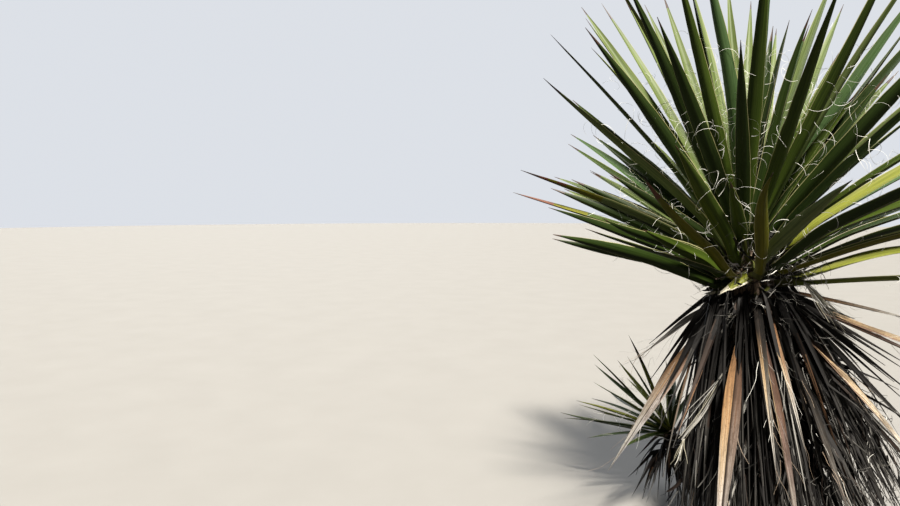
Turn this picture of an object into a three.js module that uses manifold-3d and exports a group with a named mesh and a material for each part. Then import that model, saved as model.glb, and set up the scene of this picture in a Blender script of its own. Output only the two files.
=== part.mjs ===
// A sword-leaved yucca: a leaning trunk, a rosette of stiff leaves, a skirt of dead leaves
// hanging round the trunk, and a young offset near its foot.
// Millimetres. +Z is up and the front is seen along +Y. The origin is the middle of the
// flat cut under the trunk, at ground level.

import * as THREE from "three";
import { mergeVertices } from "three/addons/utils/BufferGeometryUtils.js";
import Module from "manifold-3d";

const wasm = await Module();
wasm.setup();

// Driving dimensions

const GAP = 0.3; // between pieces that touch
const TRUNK_LEAN = 110; // how far the crown stands to the left of the foot
const TRUNK_BOW = 18; // how far the trunk bends backwards at mid height
const FLARE_HEIGHT = 300; // below it the trunk is ridged by its roots
const CROWN_HEIGHT = 1040; // where the lowest green leaves leave the trunk
const CROWN_BAND = 150; // height of the stretch of trunk that carries green leaves
const HEART_LOW = 165; // radius of the dense heart of the crown near its lower side
const HEART_TOP = 425; // radius of the heart straight up
const LEAF_WIDTH = 54;
const LEAF_THICKNESS = 9;
const SKIRT_TOP = 1000; // height of the seam between skirt and crown
const SKIRT_BOTTOM = 22;
const DEAD_HEIGHT = 1025; // where the dead leaves in sight leave the trunk
const DEAD_BASE = 70; // how far out from the trunk's middle they start
const DEAD_WIDTH = 44;
const DEAD_THICKNESS = 7;
const OFFSET_HEART = new THREE.Vector3(-427, 340, 272);
const OFFSET_HEART_RADIUS = 62;
const OFFSET_STEM_RADIUS = 32;
const OFFSET_LEAF_WIDTH = 28;
const OFFSET_LEAF_THICKNESS = 5;

// Height and radius of the trunk, from the root flare to the growing tip
const TRUNK_RADII = [
  [0, 172],
  [45, 148],
  [130, 122],
  [320, 104],
  [650, 94],
  [900, 96],
  [1040, 104],
  [1130, 90],
  [1195, 58],
  [1240, 18],
];

// Heights in the skirt, each with its radius to the right, the back, the left and the front.
// These corners are a quarter turn apart. Thatch bulges out on the right.
const SKIRT_FIRST_CORNER = 25; // of the right corner, in degrees from +X
const SKIRT_RADII = [
  [0, [640, 520, 430, 500]],
  [320, [600, 455, 385, 400]],
  [600, [520, 335, 305, 262]],
  [820, [365, 220, 212, 170]],
  [930, [265, 170, 165, 145]],
  [1000, [200, 140, 140, 128]],
];

// Green leaves in ranks. Lean is the tilt towards the viewer of the front, in degrees. Each
// leaf is its swing from the vertical as seen from the front, positive to the right, and its
// length.
const LEAF_RANKS = {
  rear: {
    lean: -52,
    leaves: [[-62, 1150], [-18, 1180], [22, 1160], [62, 1150]],
  },
  behind: {
    lean: -30,
    leaves: [[-62, 1240], [-20, 1230], [5, 1250], [34, 1040], [75, 1200]],
  },
  back: {
    lean: -10,
    leaves: [[-31, 1310], [-23, 1300], [-10.5, 1250], [12, 1240], [20, 1270], [29.5, 1130], [53, 1230]],
  },
  middle: {
    lean: 8,
    leaves: [
      [-66.5, 1010],
      [-36, 1205],
      [-22, 1250],
      [-6.5, 1240],
      [2.5, 1250],
      [24.5, 1260],
      [49, 1270],
      [82, 1265],
    ],
  },
  front: {
    lean: 30,
    leaves: [[-58, 1030], [-41, 1135], [-16.5, 1060], [-2, 900], [38.5, 1235], [66.5, 1270]],
  },
  near: {
    lean: 58,
    leaves: [[-55, 1020], [-32.5, 980], [12, 830], [34, 850]],
  },
};

// Dead leaves that stand clear of the skirt. Swing is from straight down as seen from the
// front, positive to the right, and lean is the tilt towards the viewer. Two are broader.
const DEAD_LEAVES = [
  { swing: -53, lean: -5, length: 470 },
  { swing: -34, lean: 8, length: 905, width: 64 },
  { swing: -5.5, lean: 30, length: 1120, width: 72 },
  { swing: 12, lean: 29, length: 1090 },
  { swing: 25, lean: 22, length: 900 },
  { swing: 43.5, lean: 14, length: 1000 },
  { swing: 73, lean: 0, length: 1100 },
  { swing: 24, lean: -36, length: 1080 },
  { swing: -32, lean: -34, length: 960 },
];

const OFFSET_LEAVES = [
  { swing: -80, lean: 0, length: 538 },
  { swing: -38.5, lean: 12, length: 541 },
  { swing: -24, lean: -12, length: 523 },
  { swing: -8, lean: -50, length: 480 },
];

const BARK = { color: 0x5f5142, roughness: 0.95, metalness: 0 };
const GREEN = { color: 0x66783a, roughness: 0.5, metalness: 0 };
const HEART = { color: 0x4c5a30, roughness: 0.6, metalness: 0 };
const THATCH = { color: 0x6f675d, roughness: 0.95, metalness: 0 };
const STRAW = { color: 0xb08a5e, roughness: 0.8, metalness: 0 };

// Small helpers

const { degToRad, radToDeg, lerp, smoothstep } = THREE.MathUtils;
const UP = new THREE.Vector3(0, 0, 1);

// A fixed number from 0 to 1 for the pair i, k, so that like pieces differ a little.
function chance(i, k) {
  const wave = Math.sin(i * 12.9898 + k * 78.233) * 43758.5453;
  return wave - Math.floor(wave);
}

// Linear reading of a table of [position, value] rows.
function read(table, at) {
  const next = table.findIndex(([position]) => position >= at);
  if (next <= 0) return table.at(next)[1];
  const [[p0, v0], [p1, v1]] = table.slice(next - 1, next + 1);
  return lerp(v0, v1, (at - p0) / (p1 - p0));
}

// Moves every vertex of a geometry to place(x, y, z).
function reshape(geometry, place) {
  const position = geometry.getAttribute("position");
  for (let i = 0; i < position.count; i++) {
    const moved = place(position.getX(i), position.getY(i), position.getZ(i));
    position.setXYZ(i, moved.x, moved.y, moved.z);
  }
  return geometry;
}

// The closed solid that a geometry bounds.
function solidOf(geometry) {
  const bare = geometry.clone();
  bare.deleteAttribute("normal");
  bare.deleteAttribute("uv");
  const merged = mergeVertices(bare, 1e-3);
  const vertProperties = new Float32Array(merged.getAttribute("position").array);
  const triVerts = new Uint32Array(merged.index.array);
  return new wasm.Manifold(new wasm.Mesh({ numProp: 3, vertProperties, triVerts }));
}

// The largest of the bodies that a cut leaves.
function largest(solid) {
  return solid.decompose().sort((a, b) => b.volume() - a.volume())[0];
}

function meshOf(name, solid, look) {
  const { vertProperties, triVerts } = solid.getMesh();
  const geometry = new THREE.BufferGeometry()
    .setAttribute("position", new THREE.BufferAttribute(vertProperties, 3))
    .setIndex(new THREE.BufferAttribute(triVerts, 1));
  geometry.computeVertexNormals();
  const mesh = new THREE.Mesh(geometry, new THREE.MeshStandardMaterial(look));
  mesh.name = name;
  return mesh;
}

// A direction from its swing off the vertical and its lean towards the viewer.
function towards(swing, lean) {
  const level = Math.cos(degToRad(lean));
  const side = Math.sin(degToRad(swing)) * level;
  const rise = Math.cos(degToRad(swing)) * level;
  return new THREE.Vector3(side, -Math.sin(degToRad(lean)), rise);
}

// Trunk

function trunkAt(height) {
  const share = height / CROWN_HEIGHT;
  return new THREE.Vector3(-TRUNK_LEAN * share ** 1.25, TRUNK_BOW * Math.sin(share * 3), height);
}

// How far a body thickened by grow moves its ends, at the share of its height.
function endShift(share, grow) {
  if (share === 0) return -grow;
  return share === 1 ? grow : 0;
}

// The trunk's solid, thicker all round by grow. Its rings lie closer near the ground.
function trunkSolid(grow = 0) {
  return solidOf(
    reshape(new THREE.CylinderGeometry(1, 1, 1, 16, 18), (x, y, z) => {
      const share = y + 0.5;
      const height = TRUNK_RADII.at(-1)[0] * share ** 1.15;
      const ridges = 0.1 * Math.max(0, 1 - height / FLARE_HEIGHT) * Math.sin(4 * Math.atan2(z, x));
      const radius = read(TRUNK_RADII, height) * (1 + ridges) + grow;
      const ring = new THREE.Vector3(x * radius, -z * radius, endShift(share, grow));
      return trunkAt(height).add(ring);
    }),
  );
}

// Masses of leaves

const crownCentre = trunkAt(CROWN_HEIGHT + 0.6 * CROWN_BAND);

// The heart of the crown, where leaves lie too close to be told apart. It is cut level
// where the skirt begins.
function crownSolid(grow = 0) {
  const depth = crownCentre.z - SKIRT_TOP - GAP + grow;
  return solidOf(
    reshape(new THREE.IcosahedronGeometry(1, 7), (x, y, z) => {
      const unit = new THREE.Vector3(x, y, z).normalize();
      const azimuth = Math.atan2(unit.y, unit.x);
      const tufts = 16 * Math.sin(6 * azimuth + 5 * unit.z) + 12 * Math.sin(9 * azimuth - 7 * unit.z);
      const even = lerp(HEART_LOW, HEART_TOP, smoothstep(unit.z, -0.5, 0.85));
      const radius = even + tufts * (1 - unit.z ** 8) + grow;
      const level = unit.z < 0 ? depth / -unit.z : Infinity;
      return unit.multiplyScalar(Math.min(radius, level)).add(crownCentre);
    }),
  );
}

// The skirt's radius at a height and an angle from +X, with the locks that leaves hang in.
function skirtRadius(height, angle) {
  const turn = ((radToDeg(angle) - SKIRT_FIRST_CORNER + 720) % 360) / 90;
  const corner = Math.floor(turn);
  const [from, to] = [corner, (corner + 1) % 4].map((i) =>
    read(SKIRT_RADII.map(([level, radii]) => [level, radii[i]]), height),
  );
  const locks = 0.03 * Math.sin(7 * angle + height / 210) + 0.02 * Math.sin(13 * angle - height / 130);
  return lerp(from, to, smoothstep(turn - corner, 0, 1)) * (1 + locks);
}

function skirtSolid(grow = 0) {
  return solidOf(
    reshape(new THREE.CylinderGeometry(1, 1, 1, 36, 10), (x, y, z) => {
      const share = y + 0.5;
      const height = lerp(SKIRT_BOTTOM, SKIRT_TOP - GAP, share);
      const radius = skirtRadius(height, Math.atan2(-z, x)) + grow;
      const ring = new THREE.Vector3(x * radius, -z * radius, endShift(share, grow));
      return trunkAt(height).add(ring);
    }),
  );
}

// A tall wedge between two angles from +X, with its edge upright through the axis point and
// its sides set back by half a gap.
function wedgeSolid(axis, from, to) {
  const reach = 2000;
  const middle = (from + to) / 2;
  const setBack = GAP / 2 / Math.sin((to - from) / 2);
  const corners = [from, to].map((a) => new THREE.Vector2(Math.cos(a), Math.sin(a)).multiplyScalar(reach));
  const outline = new THREE.Shape([new THREE.Vector2(), ...corners]);
  const prism = new THREE.ExtrudeGeometry(outline, { depth: 2 * reach, bevelEnabled: false });
  const edgeX = axis.x + setBack * Math.cos(middle);
  const edgeY = axis.y + setBack * Math.sin(middle);
  return solidOf(prism.translate(edgeX, edgeY, -reach / 2));
}

// The named sectors of a body that stands round the trunk, clear of what runs through it.
function sectorsOf(body, { prefix, names, startDegrees, axis, cores, look }) {
  const turn = (2 * Math.PI) / names.length;
  const group = new THREE.Group();
  for (const [i, name] of names.entries()) {
    const from = degToRad(startDegrees) + i * turn;
    let piece = body.intersect(wedgeSolid(axis, from, from + turn));
    for (const core of cores) piece = piece.subtract(core);
    group.add(meshOf(`${prefix}_${name}`, largest(piece), look));
  }
  return group;
}

function crownMasses() {
  return sectorsOf(crownSolid(), {
    prefix: "crown",
    names: ["right", "back", "left", "front"],
    startDegrees: -40,
    axis: crownCentre,
    cores: [trunkSolid(GAP)],
    look: HEART,
  });
}

function skirtMasses() {
  return sectorsOf(skirtSolid(), {
    prefix: "skirt",
    names: ["right", "back_right", "back_left", "left", "front"],
    startDegrees: -30,
    axis: trunkAt(CROWN_HEIGHT / 2),
    cores: [trunkSolid(GAP), offsetStemSolid(GAP)],
    look: THATCH,
  });
}

// Leaves

// Share of a leaf's length against its share of the full width
const LEAF_OUTLINE = [
  [0, 0.8],
  [0.12, 0.72],
  [0.3, 0.9],
  [0.45, 1],
  [0.6, 0.94],
  [0.75, 0.7],
  [0.88, 0.38],
  [1, 0.04],
];

// One blade: a channelled, tapering strip that starts at base, sags towards its tip and
// turns about its length by roll.
function bladeSolid(base, direction, { length, width, thickness, sag, roll, steps = 8 }) {
  const channel = 0.2 * width;
  const face = UP.clone().addScaledVector(direction, -UP.dot(direction)).normalize();
  const across = direction.clone().cross(face);
  const middle = base.clone().addScaledVector(direction, length / 2);
  const tip = base.clone().addScaledVector(direction, length).addScaledVector(face, -sag * length);
  const spine = new THREE.QuadraticBezierCurve3(base, middle, tip);
  return solidOf(
    reshape(new THREE.CylinderGeometry(1, 1, 1, 4, steps), (x, y, z) => {
      const share = y + 0.5;
      const tangent = spine.getTangent(share);
      const side = across.clone().applyAxisAngle(tangent, roll * (0.35 + 0.65 * share));
      const normal = side.clone().cross(tangent);
      const breadth = read(LEAF_OUTLINE, share);
      const lift = 0.5 * thickness * (1 - 0.7 * share) * z + channel * breadth * Math.abs(x);
      return spine
        .getPoint(share)
        .addScaledVector(side, 0.5 * width * breadth * x)
        .addScaledVector(normal, lift);
    }),
  );
}

function greenLeaves() {
  const heart = crownSolid(GAP);
  const group = new THREE.Group();
  for (const [rank, { lean, leaves }] of Object.entries(LEAF_RANKS)) {
    for (const [i, [swing, length]] of leaves.entries()) {
      const seed = group.children.length;
      const direction = towards(swing, lean);
      const rise = Math.max(0, direction.z);
      const solid = bladeSolid(trunkAt(CROWN_HEIGHT + CROWN_BAND * rise), direction, {
        length,
        width: LEAF_WIDTH * (0.9 + 0.2 * chance(seed, 2)),
        thickness: LEAF_THICKNESS,
        sag: 0.03 + 0.03 * chance(seed, 3) + 0.05 * (1 - rise),
        roll: 1.3 * (chance(seed, 4) - 0.5),
      });
      group.add(meshOf(`leaf_${rank}_${i + 1}`, largest(solid.subtract(heart)), GREEN));
    }
  }
  return group;
}

function deadLeaves() {
  const covered = crownSolid(GAP).add(skirtSolid(GAP));
  const group = new THREE.Group();
  for (const [i, { swing, lean, length, width = DEAD_WIDTH }] of DEAD_LEAVES.entries()) {
    const direction = towards(180 - swing, lean);
    const outward = direction.clone().setZ(0).setLength(DEAD_BASE);
    const solid = bladeSolid(trunkAt(DEAD_HEIGHT).add(outward), direction, {
      length,
      width: width * (0.9 + 0.2 * chance(i, 5)),
      thickness: DEAD_THICKNESS,
      sag: 0.05,
      roll: 0.6 * (chance(i, 6) - 0.5),
    });
    group.add(meshOf(`dead_leaf_${i + 1}`, largest(solid.subtract(covered)), STRAW));
  }
  return group;
}

// The young offset

// Its stem starts inside the root flare, runs along the ground and turns up.
function offsetStemSolid(grow = 0) {
  const foot = OFFSET_HEART.clone().setZ(OFFSET_STEM_RADIUS + 8);
  const start = foot.clone().multiplyScalar(0.2).setZ(58);
  const spine = new THREE.QuadraticBezierCurve3(start, foot, OFFSET_HEART);
  const side = OFFSET_HEART.clone().setZ(0).cross(UP).normalize();
  const bent = reshape(new THREE.CylinderGeometry(1, 1, 1, 10, 10), (x, y, z) => {
    const share = y + 0.5;
    const radius = OFFSET_STEM_RADIUS * lerp(0.85, 1, share) + grow;
    const over = side.clone().cross(spine.getTangent(share));
    return spine
      .getPoint(share)
      .addScaledVector(side, x * radius)
      .addScaledVector(over, z * radius);
  });
  return solidOf(bent);
}

function offsetHeartSolid(grow = 0) {
  return solidOf(
    reshape(new THREE.IcosahedronGeometry(1, 3), (x, y, z) => {
      const unit = new THREE.Vector3(x, y, z).normalize();
      const tufts = 5 * Math.sin(7 * Math.atan2(unit.y, unit.x)) * (1 - unit.z ** 4);
      const radius = OFFSET_HEART_RADIUS * (1 + 0.5 * unit.z) + tufts + grow;
      return unit.multiplyScalar(radius).add(OFFSET_HEART);
    }),
  );
}

function offset() {
  const group = new THREE.Group();
  const stem = offsetStemSolid().subtract(trunkSolid(GAP));
  const mass = offsetHeartSolid().subtract(offsetStemSolid(GAP)).subtract(skirtSolid(GAP));
  const heart = offsetHeartSolid(GAP);
  group.add(meshOf("offset_stem", largest(stem), BARK));
  group.add(meshOf("offset_heart", largest(mass), HEART));
  for (const [i, { swing, lean, length }] of OFFSET_LEAVES.entries()) {
    const solid = bladeSolid(OFFSET_HEART, towards(swing, lean), {
      length,
      width: OFFSET_LEAF_WIDTH,
      thickness: OFFSET_LEAF_THICKNESS,
      sag: 0.05,
      roll: 0.4 * (chance(i, 8) - 0.5),
      steps: 6,
    });
    group.add(meshOf(`offset_leaf_${i + 1}`, largest(solid.subtract(heart)), GREEN));
  }
  return group;
}

// The whole plant

const yucca = new THREE.Group();
yucca.add(meshOf("trunk", trunkSolid(), BARK));
yucca.add(crownMasses(), skirtMasses(), greenLeaves(), deadLeaves(), offset());

export default yucca;
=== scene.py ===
# Looks of the sword-leaved yucca: its rosette of stiff leaves with curling fibres, the skirt
# of dead leaves round its trunk, and the young offset beside its foot.
# Metres. +Z is up and the front is seen along +Y.
import math
from collections import namedtuple

import bpy
import numpy as np
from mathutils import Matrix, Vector, noise
from mathutils.bvhtree import BVHTree


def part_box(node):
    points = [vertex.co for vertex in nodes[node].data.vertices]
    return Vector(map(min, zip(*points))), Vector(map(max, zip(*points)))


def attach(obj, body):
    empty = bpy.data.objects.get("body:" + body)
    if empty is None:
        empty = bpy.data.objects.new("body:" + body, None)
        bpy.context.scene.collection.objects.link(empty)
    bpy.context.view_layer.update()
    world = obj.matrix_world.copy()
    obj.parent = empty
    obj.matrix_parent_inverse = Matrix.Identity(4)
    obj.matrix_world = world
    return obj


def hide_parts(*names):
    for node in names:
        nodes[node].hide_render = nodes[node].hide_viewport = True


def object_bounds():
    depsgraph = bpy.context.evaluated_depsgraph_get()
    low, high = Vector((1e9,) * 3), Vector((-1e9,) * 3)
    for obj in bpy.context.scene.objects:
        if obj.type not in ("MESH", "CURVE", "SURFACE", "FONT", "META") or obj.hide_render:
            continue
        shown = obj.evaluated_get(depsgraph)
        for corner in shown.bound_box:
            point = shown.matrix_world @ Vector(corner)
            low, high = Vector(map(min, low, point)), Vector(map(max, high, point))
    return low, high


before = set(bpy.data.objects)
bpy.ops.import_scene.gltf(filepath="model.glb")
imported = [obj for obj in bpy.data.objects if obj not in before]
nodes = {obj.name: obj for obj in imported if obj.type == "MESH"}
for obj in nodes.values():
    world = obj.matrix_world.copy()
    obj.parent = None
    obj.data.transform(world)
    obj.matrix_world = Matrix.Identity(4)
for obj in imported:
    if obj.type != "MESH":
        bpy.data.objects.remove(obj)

cad_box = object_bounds()

# Driving dimensions

CROWN_HEIGHT = 1.04  # where the lowest green leaves leave the trunk
CROWN_BAND = 0.15  # height of the stretch of trunk that carries green leaves
DEAD_HEIGHT = 1.025  # where the outermost dead leaves hang from
LEAF_WIDTH = 0.054
LEAF_THICKNESS = 0.0075  # at the start of a leaf
DEAD_WIDTH = 0.042
DEAD_THICKNESS = 0.0018
FIBRE_WIDTH = 0.0019
OFFSET_LEAF_WIDTH = 0.03
OFFSET_LEAF_THICKNESS = 0.004
GROUND_CLEARANCE = 0.004

CAD_LEAF_STEPS = 8  # stretches between the rings of a leaf's solid
CAD_OFFSET_STEPS = 6
RING_APART = 0.03  # points further apart than this along a leaf belong to different rings
RING_OFF = 0.12  # how far off its place a ring may be, in rings' distances

GOLDEN_ANGLE = math.pi * (3 - math.sqrt(5))
UP = np.array([0.0, 0.0, 1.0])

# Green leaves in the photograph beyond those that are solids of their own: lean towards the
# viewer, swing from the vertical to the right, both in degrees, and length.
AIMED_LEAVES = [
    (-20, -44.1, 1.18),
    (20, -30.2, 1.12),
    (-8, -30.4, 1.33),
    (-8, -26.6, 1.29),
    (-10, -19.3, 1.20),
    (-12, -10.5, 1.22),
    (18, -20.4, 1.20),
    (20, -12.0, 1.21),
    (-10, -15.5, 1.22),
    (-12, -3.7, 1.21),
    (-20, -0.8, 1.21),
    (22, 2.0, 1.22),
    (-20, 16.2, 1.23),
    (17, 20.8, 1.23),
    (0, 27.2, 1.21),
    (0, 31.4, 1.24),
    (-20, 33.0, 1.02),
    (15, 35.2, 1.21),
    (8, -59.4, 0.79),
    (-10, -55.6, 0.79),
    (-30, -54.7, 1.22),
    (-20, -51.5, 1.07),
    (-10, -47.0, 0.87),
    (-30, -44.3, 1.13),
    (45, -8.0, 0.48),
    (50, -24.9, 0.82),
    (0, -55.1, 0.75),
    (30, -68.2, 0.88),
    (45, -73.0, 0.94),
    (8, -64.5, 0.86),
    (-18, -66.0, 0.95),
    (0, 28.5, 0.74),
    (4, 31.5, 0.82),
    (25, -58.0, 0.72),
    (-25, -60.0, 0.80),
    (38, -62.0, 0.70),
    (-5, -71.0, 0.78),
    (20, -76.0, 0.80),
    (-35, -68.0, 0.85),
    (12, -50.0, 0.66),
    (52, -60.0, 0.66),
]

# Dead leaves in the photograph beyond those that are solids of their own: lean, swing from
# straight down to the right, length, width and kind.
AIMED_DEAD = [
    (24, -19.9, 0.66, 0.042, 1),
    (-2, 33.0, 0.92, 0.042, 1),
    (10, -30.0, 0.52, 0.052, 4),
    (2, -38.0, 0.50, 0.050, 4),
    (-8, -33.0, 0.60, 0.052, 4),
    (14, -25.0, 0.62, 0.046, 4),
    (-10, -52.0, 0.42, 0.042, 4),
    (5, 62.0, 0.30, 0.040, 4),
    (-12, 74.0, 0.34, 0.044, 4),
    (-2, 50.0, 0.40, 0.040, 4),
    (-20, 60.0, 0.42, 0.040, 3),
    (0, 70.0, 0.42, 0.036, 4),
    (-6, 48.0, 0.46, 0.042, 4),
    (4, 56.0, 0.34, 0.036, 3),
    (-4, 46.0, 0.76, 0.040, 4),
    (-10, 51.0, 0.70, 0.042, 4),
    (-2, 55.0, 0.66, 0.042, 4),
    (-14, 60.0, 0.62, 0.042, 4),
    (-20, 57.0, 0.58, 0.036, 3),
    (2, 64.0, 0.54, 0.040, 4),
    (-8, 69.0, 0.48, 0.040, 4),
    (-12, 41.0, 0.84, 0.040, 4),
    (-18, 46.0, 0.80, 0.042, 4),
    (-26, 53.0, 0.72, 0.040, 3),
    (-5, 36.0, 0.95, 0.042, 4),
    (-10, 38.0, 0.90, 0.042, 4),
    (-18, 38.0, 0.95, 0.040, 3),
    (-22, 34.0, 0.95, 0.042, 4),
    (10, 27.0, 1.00, 0.042, 4),
    (0, 31.0, 0.98, 0.042, 4),
]

# Offset leaves beyond those that are solids of their own
AIMED_OFFSET = [
    (-18, -52.7, 0.50),
    (10, -83.2, 0.50),
    (5, -55.8, 0.42),
    (-25, -42.4, 0.45),
    (30, -65.3, 0.48),
    (20, 12.0, 0.36),
    (-35, -66.0, 0.44),
    (-5, -5.0, 0.34),
    (48, -30.0, 0.38),
    (-62, -20.0, 0.42),
    (28, -45.0, 0.42),
    (-8, -30.0, 0.40),
    (42, -62.0, 0.42),
    (14, -70.0, 0.46),
    (-20, -76.0, 0.44),
    (35, -86.0, 0.42),
    (12, -18.0, 0.40),
    (-45, 20.0, 0.36),
    (-48, -50.0, 0.42),
    (62, -70.0, 0.40),
]
OFFSET_DEAD = 46

# Small helpers


def unit(vectors):
    return vectors / np.linalg.norm(vectors, axis=-1, keepdims=True)


def lerp(a, b, share):
    return a + (b - a) * share


def smooth(share):
    share = np.clip(share, 0, 1)
    return share * share * (3 - 2 * share)


def towards(swing, lean):
    """A direction from its swing off the vertical and its lean towards the viewer, in degrees."""
    s, b = math.radians(swing), math.radians(lean)
    return np.array([math.sin(s) * math.cos(b), -math.sin(b), math.cos(s) * math.cos(b)])


def spherical(azimuth, rise):
    return np.array(
        [math.cos(azimuth) * math.cos(rise), math.sin(azimuth) * math.cos(rise), math.sin(rise)]
    )


def rotated(vectors, axes, angles):
    """Vectors turned about the unit axes that they are square to."""
    angles = np.asarray(angles)[..., None]
    return vectors * np.cos(angles) + np.cross(axes, vectors) * np.sin(angles)


def linear(code):
    """A colour written as RRGGBB, in the units that shaders use."""
    parts = [int(code[i : i + 2], 16) / 255 for i in (0, 2, 4)]
    return tuple(c / 12.92 if c < 0.04045 else ((c + 0.055) / 1.055) ** 2.4 for c in parts) + (1.0,)


# Materials

# Grains across and along a leaf, per metre: streaks and broader patches
GREEN_STREAK = (330, 4)
GREEN_PATCH = (120, 2.5)
DEAD_STREAK = (420, 6)
DEAD_PATCH = (60, 9)
DRY_FINGERS = (190, 3.5)
DRY_BLOTCHES = (30, 14)
DRY_SPECKS = (520, 90)

FOLD_SHADOW = 0.0035  # how far the painted shadow in the fold of a dry leaf reaches into its duller half
AGE_STOPS = (0.0, 0.14, 0.26, 0.42, 0.58, 0.74)  # shares of the length at which the palette is met
# Depths of relief
LEAF_RELIEF = 0.0012
DRY_RELIEF = 0.0015
BARK_RELIEF = 0.004
# Grains per metre in the bark and on the floor
BARK_GRAIN = 60
BARK_CRACKS = 48
FLOOR_GRAIN = 2.5


def feed(tree, node, inputs):
    """Sets each input to a number, a vector or a colour's code, or links it to a socket."""
    for name, value in inputs.items():
        if isinstance(value, bpy.types.NodeSocket):
            tree.links.new(value, node.inputs[name])
        else:
            node.inputs[name].default_value = linear(value) if isinstance(value, str) else value


def add_node(tree, kind, inputs=None, **settings):
    made = tree.nodes.new("ShaderNode" + kind)
    for name, value in settings.items():
        setattr(made, name, value)
    feed(tree, made, inputs or {})
    return made


def new_material(name):
    material = bpy.data.materials.new(name)
    material.use_nodes = True
    return material, material.node_tree, material.node_tree.nodes["Principled BSDF"]


def noise_fac(tree, place, scale, detail):
    """Noise whose grains are 1/scale metres across and along."""
    stretched = add_node(tree, "Mapping", {"Vector": place, "Scale": (*scale, 1.0)}).outputs[0]
    inputs = {"Vector": stretched, "Scale": 1.0, "Detail": detail, "Roughness": 0.6}
    return add_node(tree, "TexNoise", inputs).outputs["Fac"]


def spread_out(tree, value, low, high, start=0.32, end=0.68):
    """The value between start and end, stretched from low to high."""
    inputs = {"Value": value, "From Min": start, "From Max": end, "To Min": low, "To Max": high}
    return add_node(tree, "MapRange", inputs).outputs["Result"]


def combined(tree, a, b, operation="ADD"):
    return add_node(tree, "Math", {0: a, 1: b}, operation=operation).outputs[0]


def mixed(tree, a, b, factor, blend="MIX"):
    """The colour a, blended with b by the factor."""
    inputs = {"Factor": factor, 6: a, 7: b}
    return add_node(tree, "Mix", inputs, data_type="RGBA", blend_type=blend).outputs[2]


def bump(tree, height, strength, distance):
    inputs = {"Height": height, "Strength": strength, "Distance": distance}
    return add_node(tree, "Bump", inputs).outputs[0]


def fibrous(name, dark, light, roughness, relief, streak=GREEN_STREAK, patch=GREEN_PATCH, shine=0.5):
    """A leaf's surface: lengthwise streaks, with broader patches of the lighter colour."""
    material, tree, shader = new_material(name)
    place = add_node(tree, "UVMap", uv_map="along").outputs[0]
    streaks = noise_fac(tree, place, streak, 4)
    patches = noise_fac(tree, place, patch, 2)
    amount = combined(tree, spread_out(tree, streaks, 0, 0.5), spread_out(tree, patches, 0, 0.5))
    feed(tree, shader, {
        "Base Color": mixed(tree, dark, light, amount),
        "Roughness": spread_out(tree, streaks, roughness - 0.08, roughness + 0.1),
        "Normal": bump(tree, streaks, relief, LEAF_RELIEF),
        "Specular IOR Level": shine,
    })
    return material


def palette(tree, share, codes):
    """Colours met one after the other along a leaf."""
    made = add_node(tree, "ValToRGB", {"Fac": share})
    stops = made.color_ramp.elements
    while len(stops) < len(codes):
        stops.new(0.5)
    for stop, place, code in zip(stops, AGE_STOPS, codes):
        stop.position = place
        stop.color = linear(code)
    return made.outputs["Color"]


def painted_fold_shadow(tree, across, hand, fold_shadow):
    """0 in the painted shadow that one half casts into the fold, which reaches from the middle into the
    half away from the hand, and 1 outside it."""
    into_dull = combined(tree, across, -hand, "MULTIPLY")
    after = spread_out(tree, into_dull, 0, 1, 0.3 * fold_shadow, fold_shadow)
    before = spread_out(tree, into_dull, 1, 0, -0.0015, 0)
    return combined(tree, before, after, "MAXIMUM")


def aged(name, length, halves, hand, delay, fold_shadow):
    """A dead leaf's surface. Its colours change along it in ragged streaks, later with a delay, and the
    first of the halves' palettes is on the hand's side. The first, brighter palette is partly painted light
    and the second, duller one partly painted shade, and the dark start that the delay draws out is partly
    painted shadow of the crown."""
    material, tree, shader = new_material(name)
    place = add_node(tree, "UVMap", uv_map="along").outputs[0]
    parts = add_node(tree, "SeparateXYZ", {0: place})
    streaks = noise_fac(tree, place, DEAD_STREAK, 5)
    fingers = noise_fac(tree, place, DRY_FINGERS, 3)
    blotches = noise_fac(tree, place, DRY_BLOTCHES, 3)
    specks = noise_fac(tree, place, DRY_SPECKS, 2)
    share = spread_out(tree, parts.outputs["Y"], -delay, 1, 0, length)
    ragged = combined(tree, share, spread_out(tree, fingers, -0.16, 0.16, 0.25, 0.75))
    across = combined(tree, parts.outputs["X"], spread_out(tree, fingers, -0.003, 0.003, 0.3, 0.7))
    side = spread_out(tree, across, 0 if hand > 0 else 1, 1 if hand > 0 else 0, -0.0012, 0.0012)
    bright, dull = (palette(tree, ragged, codes) for codes in halves)
    colour = mixed(tree, dull, bright, side)
    shade = mixed(tree, "6b665f", "ffffff", spread_out(tree, streaks, 0, 1))
    colour = mixed(tree, colour, shade, 0.75, "MULTIPLY")
    stain = mixed(tree, "9a8f84", "ffffff", spread_out(tree, blotches, 0, 1, 0.3, 0.5))
    colour = mixed(tree, colour, stain, 0.6, "MULTIPLY")
    # painted shadow: a dark colour laid in the fold, on the duller half beside the middle
    colour = mixed(tree, "271d16", colour, painted_fold_shadow(tree, across, hand, fold_shadow))
    colour = mixed(tree, "4a3a2e", colour, spread_out(tree, specks, 0.15, 1, 0.34, 0.41))
    feed(tree, shader, {
        "Base Color": colour,
        "Roughness": 0.66,
        "Normal": bump(tree, streaks, 0.9, DRY_RELIEF),
        "Specular IOR Level": 0.35,
    })
    return material


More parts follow.
